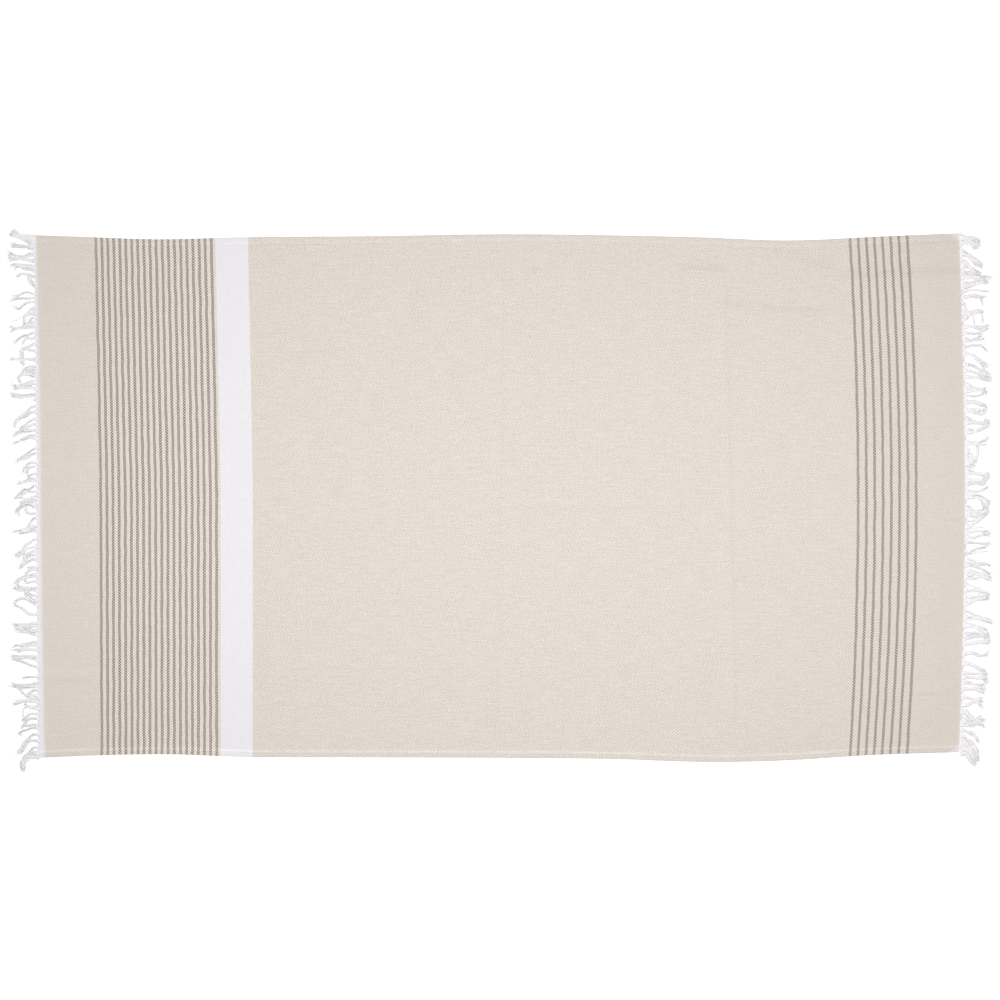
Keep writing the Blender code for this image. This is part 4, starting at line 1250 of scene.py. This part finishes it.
@dataclass(frozen=True)
class Fringe:
    """The warp ends beyond one end of the cloth, gathered in the loose bunches of the table."""

    side: Side
    strands: tuple
    plan: TowelPlan = PLAN
    yarn: CottonYarn = CottonYarn()
    thread: float = 0.0022
    looseness: float = 0.95
    gather: float = 0.008
    turns: float = 5.0
    stagger: float = 0.15
    shortfall: float = 0.12
    flatness: float = 0.7
    splay_from: float = 0.7
    splay_run: float = 0.3
    taper: float = 0.55
    taper_from: float = 0.8
    taper_run: float = 0.2
    wander: float = 0.0001
    wander_scales: tuple = (70.0, 90.0)
    hump: float = 0.0009
    hump_stride: float = 0.618
    tuck: float = 0.003
    root_height: float = 0.00015
    fan_reach: float = 0.0055
    web_pitch: float = 0.0011
    web_thread: float = 0.0005
    web_length: float = 0.026
    web_gather: float = 0.018
    web_wander: float = 0.0007
    strays: float = 3.0
    stray_thread: float = 0.00045
    stray_wander: float = 0.0010
    seed: int = 11

    def place(self, out: float, y: float) -> tuple[float, float]:
        """Floor place of a bend, from millimetres beyond the straight end and across."""
        return self.side.value * (self.plan.half_length + out * MM), y * MM

    def root(self, y: float) -> tuple[float, float]:
        """Floor place where a bunch leaves the cloth, a little inside its bowed end."""
        across = max(-self.plan.half_width, min(self.plan.half_width, y * MM))
        along = self.side.value * (self.plan.half_length - self.tuck)
        x, _ = self.plan.place(np.array([along]), np.array([across]))
        return float(x[0]), y * MM

    def fan(self, root: float) -> tuple[float, float]:
        """How far a bunch gathers warp ends from below and above its root, in metres."""
        below = max((s.root for s in self.strands if s.root < root), default=-math.inf)
        above = min((s.root for s in self.strands if s.root > root), default=math.inf)
        return tuple(min(self.fan_reach, gap / 2 * MM) for gap in (root - below, above - root))

    def draw(self) -> bpy.types.Object:
        """Draw one open path for each bunch, which carries its counts, splay and fan."""
        points, edges = [], []
        carried = {"yarns": [], "splay": [], "below": [], "above": [], "web": []}
        for number, strand in enumerate(self.strands):
            hump = self.hump * (number * self.hump_stride % 1)
            below, above = self.fan(strand.root)
            web = round((below + above) / self.web_pitch)
            bends = [self.root(strand.root)] + [self.place(*bend) for bend in strand.bends]
            facts = (strand.yarns, strand.splay * MM, below, above, web)
            for values, fact in zip(carried.values(), facts):
                values += [fact] * len(bends)
            for step, (x, y) in enumerate(bends):
                rise = hump * math.sin(math.pi * step / (len(bends) - 1))
                points.append((x, y, rise if step else self.root_height))
                if step:
                    edges.append((len(points) - 2, len(points) - 1))
        drawn = add_mesh(f"fringe_{self.side.name.lower()}_yarns", points, edges=edges)
        for name, values in carried.items():
            carrier = drawn.data.attributes.new(name, "FLOAT", "POINT")
            carrier.data.foreach_set("value", values)
        return drawn

    def build(self) -> bpy.types.Object:
        """Grow the yarns of every bunch along its path."""
        growth = Growth(
            f"{self.side.name.lower()}_bunches",
            {
                "Yarn Thickness": self.thread,
                "Looseness": self.looseness,
                "Yarn Gather": self.gather,
                "Yarn Wander": self.wander,
                "Web Thickness": self.web_thread,
                "Web Gather": self.web_gather,
                "Web Wander": self.web_wander,
                "Web Length": self.web_length,
                "Strays": self.strays,
                "Stray Thickness": self.stray_thread,
                "Stray Wander": self.stray_wander,
                "Turns": self.turns,
                "Seed": float(self.seed),
            },
        )
        bench, number = growth.bench, growth.number
        drawn = bench.node("GeometryNodeMeshToCurve", {"Mesh": growth.given})
        drawn = bench.node(
            "GeometryNodeCurveSplineType", {"Curve": drawn}, spline_type="CATMULL_ROM"
        )
        yarns = ThreadKind("Yarn", "Yarn", sides=4, steps=14, reach=None)
        web = ThreadKind("Web", "Web", sides=3, steps=9, reach="Web Length")
        strays = ThreadKind("Stray", "Web", sides=3, steps=12, reach=None)
        both = bench.node("GeometryNodeJoinGeometry")
        for kind, amount in (
            (yarns, bench.field("yarns")),
            (web, bench.field("web")),
            (strays, number("Strays")),
        ):
            bench.plug(both.inputs[0], self.bunch(growth, drawn, amount, kind))
        growth.finish(both, self.yarn.make())
        piece = self.draw()
        growth.run(piece)
        return piece

    def bunch(
        self, growth: Growth, drawn: bpy.types.Node, amount: Value, kind: ThreadKind
    ) -> bpy.types.Node:
        """Add the nodes that lay a number of threads round each drawn path.

        Args:
            growth: The tree.
            drawn: The paths, as smooth curves.
            amount: How many threads go to a path.
            kind: Which of the tree's sizes they take, and how finely they are drawn.

        Returns:
            The threads, as a mesh.
        """
        bench = growth.bench
        thread = growth.number(f"{kind.name} Thickness")
        source = {"Geometry": drawn, "Amount": amount}
        copies = bench.node("GeometryNodeDuplicateElements", source, domain="SPLINE")
        curves = bench.store(copies, "place", "CURVE", bench.value(copies, "Duplicate Index"))
        seed = {"Seed": growth.number("Seed")}
        random = bench.node("FunctionNodeRandomValue", seed, data_type="FLOAT")
        curves = bench.store(curves, "lot", "CURVE", bench.value(random, "Value"))
        lot = bench.field("lot")
        keep = 1 - lot * self.shortfall
        if kind.reach:
            spline = bench.node("GeometryNodeSplineLength")
            keep = keep * (growth.number(kind.reach) / bench.value(spline, "Length")).least(1.0)
        curves = bench.node("GeometryNodeTrimCurve", {"Curve": curves, "End": keep})
        curves = bench.node("GeometryNodeResampleCurve", {"Curve": curves, "Count": kind.steps})

        along = bench.node("GeometryNodeSplineParameter")
        share, run = bench.value(along, "Factor"), bench.value(along, "Length")
        rank = (bench.field("place") + 0.5) / amount
        gathered = (run / growth.number(f"{kind.gather} Gather")).ease()
        angle = (rank + run * growth.number("Turns") + lot * self.stagger) * math.tau
        girth = bench.field("yarns") * growth.number("Yarn Thickness")
        radius = girth * growth.number("Looseness") / math.tau
        bends, lots = self.wander_scales
        wander = bench.unevenness(run * bends, lot * lots) * 2 * growth.number(f"{kind.name} Wander")
        opened = ((share - self.splay_from) / self.splay_run).ease()
        tip = opened * (rank - 0.5) * bench.field("splay") * 2
        sideways = gathered * radius * angle.cosine() + wander * gathered + tip
        upwards = thread * 0.5 + gathered * radius * self.flatness * (1 + angle.sine())
        fan = blend(rank, -1 * bench.field("below"), bench.field("above"))
        tangent = bench.node("GeometryNodeInputTangent")
        lateral = bench.vector_math("CROSS_PRODUCT", (0.0, 0.0, 1.0), tangent)
        lateral = bench.tint(bench.vector_math("NORMALIZE", lateral), sideways)
        fanned = bench.vector(0.0, (1 - gathered) * fan, upwards)
        offset = bench.vector_math("ADD", lateral, fanned)
        curves = bench.node("GeometryNodeSetPosition", {"Geometry": curves, "Offset": offset})
        taper = thread * (1 - self.taper * ((share - self.taper_from) / self.taper_run).ease())
        return growth.thread(curves, taper, kind.sides)


@dataclass(frozen=True)
class HemStitching:
    """The two lines of pale lockstitch that hold the hems down."""

    cloth: Cloth = Cloth()
    thread_finish: CottonYarn = CottonYarn(name="hem_thread", colour=linear(244, 238, 232))
    pitch: float = 0.0032
    stitch: float = 0.0026
    thread: float = 0.00042
    arch: float = 0.0005
    from_end: float = 0.006
    step: float = 0.006
    sides: int = 4

    def draw(self) -> bpy.types.Object:
        """Draw the two lines along the hems, on the cloth's upper face."""
        plan = self.cloth.plan
        reach = plan.half_length - self.from_end
        u = np.linspace(-reach, reach, round(2 * reach / self.step) + 1)
        points, edges = [], []
        for side in (-1, 1):
            v = np.full_like(u, side * (plan.half_width - self.cloth.stitch_depth))
            x, y = plan.place(u, v)
            z = plan.lift(u, v) + self.cloth.top_height(u, v)
            edges += [(len(points) + i, len(points) + i + 1) for i in range(len(u) - 1)]
            points += list(zip(x, y, z))
        return add_mesh("hem_stitching", points, edges=edges)

    def build(self) -> bpy.types.Object:
        """Sew the stitches along the drawn lines."""
        growth = Growth(
            "lockstitch", {"Stitch": self.stitch, "Thread": self.thread, "Arch": self.arch}
        )
        bench = growth.bench
        half = growth.number("Stitch") * 0.5
        bow = bench.node(
            "GeometryNodeCurveQuadraticBezier",
            {
                "Resolution": self.sides,
                "Start": bench.vector(-1 * half, 0.0, 0.0),
                "Middle": bench.vector(0.0, 0.0, growth.number("Arch") * 2),
                "End": bench.vector(half, 0.0, 0.0),
            },
        )
        stitch = growth.thread(bow, growth.number("Thread"), self.sides)
        lines = bench.node("GeometryNodeMeshToCurve", {"Mesh": growth.given})
        count = round(2 * (self.cloth.plan.half_length - self.from_end) / self.pitch)
        places = bench.node("GeometryNodeResampleCurve", {"Curve": lines, "Count": count})
        tangent = {"Vector": bench.node("GeometryNodeInputTangent")}
        turn = bench.node("FunctionNodeAlignRotationToVector", tangent, axis="X")
        sewn = bench.node(
            "GeometryNodeInstanceOnPoints",
            {"Points": places, "Instance": stitch, "Rotation": turn},
        )
        growth.finish(sewn, self.thread_finish.make())
        piece = self.draw()
        growth.run(piece)
        return piece


@dataclass(frozen=True)
class Studio:
    """Pale floor, soft overhead light and the camera that looks straight down."""

    view_width: float = 1.93486
    view_centre: tuple = (-0.0032, -0.0058)
    lens: float = 100.0
    sensor: float = 36.0
    floor_size: float = 16.0
    floor_drop: float = 0.0002
    floor_tone: float = 0.92
    floor_glow: float = 0.35
    light_height: float = 2.0
    light_shift: float = 0.12
    light_sizes: tuple = (3.2, 1.0)
    light_power: float = 39.0
    side_light: float = 0.50
    side_place: tuple = (0.0, 2.0, 1.0)
    side_tilt: float = math.radians(60)
    side_turn: float = math.radians(35)
    side_spread: float = math.radians(15)
    sky: float = 0.25

    def build(self) -> None:
        """Put in the floor, the lights and the camera."""
        # The denoiser's prefilter takes the weave for noise and wipes it out of the stripes.
        bpy.context.scene.cycles.denoising_prefilter = "NONE"
        self.add_floor()
        self.add_light()
        self.add_sky()
        self.add_camera()

    def add_floor(self) -> None:
        """A plain white floor, bright enough to show no shade."""
        half = self.floor_size / 2
        corners = [(-half, -half), (half, -half), (half, half), (-half, half)]
        points = np.array([(x, y, -self.floor_drop) for x, y in corners])
        floor = add_mesh("floor", points, [[0, 1, 2, 3]])
        settings = {
            "Base Color": (self.floor_tone, self.floor_tone, self.floor_tone, 1.0),
            "Roughness": 0.9,
            "Specular IOR Level": 0.0,
            "Emission Color": WHITE,
            "Emission Strength": self.floor_glow,
        }
        floor.data.materials.append(start_material("pale_floor", settings)[0])

    def add_light(self) -> None:
        """One long soft light overhead, and a weak low one from beyond the far edge."""
        overhead = bpy.data.lights.new("overhead", "AREA")
        overhead.shape = "RECTANGLE"
        overhead.size, overhead.size_y = self.light_sizes
        overhead.energy = self.light_power
        low = bpy.data.lights.new("low_side", "SUN")
        low.energy = self.side_light
        low.angle = self.side_spread
        for data, place, turn in (
            (overhead, (self.light_shift, 0.0, self.light_height), (0.0, 0.0, 0.0)),
            (low, self.side_place, (-self.side_tilt, 0.0, self.side_turn)),
        ):
            light = bpy.data.objects.new(data.name, data)
            light.location = place
            light.rotation_euler = turn
            light.visible_camera = False
            bpy.context.scene.collection.objects.link(light)

    def add_sky(self) -> None:
        """Even white light from all round."""
        world = bpy.data.worlds.new("studio")
        world.use_nodes = True
        background = world.node_tree.nodes["Background"]
        background.inputs["Color"].default_value = WHITE
        background.inputs["Strength"].default_value = self.sky
        bpy.context.scene.world = world
        bpy.context.scene.view_settings.view_transform = "Standard"

    def add_camera(self) -> None:
        """A long lens straight above the towel."""
        data = bpy.data.cameras.new("overhead_camera")
        data.lens = self.lens
        data.sensor_width = self.sensor
        height = self.view_width * self.lens / self.sensor
        data.clip_end = 3 * height
        camera = bpy.data.objects.new("overhead_camera", data)
        camera.location = (*self.view_centre, height)
        bpy.context.scene.collection.objects.link(camera)
        bpy.context.scene.camera = camera


def settle(piece: bpy.types.Object, slot: Slot, *nodes: str) -> None:
    """Hand a finished piece to the frame.

    Args:
        piece: The piece.
        slot: The record's material slot that its finish comes from; not used.
        nodes: The CAD nodes that it stands for.
    """
    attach(piece, BODY)
    if nodes:
        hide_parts(*nodes)
    log.info("%s: %d faces", piece.name, len(piece.data.polygons))


def main() -> None:
    """Build the towel and its studio, piece by piece."""
    logging.basicConfig(level=logging.INFO, format="%(name)s: %(message)s")
    Studio().build()
    cloth = Cloth()
    woven = cloth.build()
    cloth.dress(woven)
    settle(woven, Slot.CLOTH, "cloth")
    for side, paths in ((Side.LEFT, LEFT_STRANDS), (Side.RIGHT, RIGHT_STRANDS)):
        settle(Fringe(side, paths).build(), Slot.YARN, f"fringe_{side.name.lower()}")
    stitching = HemStitching(cloth).build()
    settle(stitching, Slot.CLOTH)


if __name__ == "__main__":
    main()
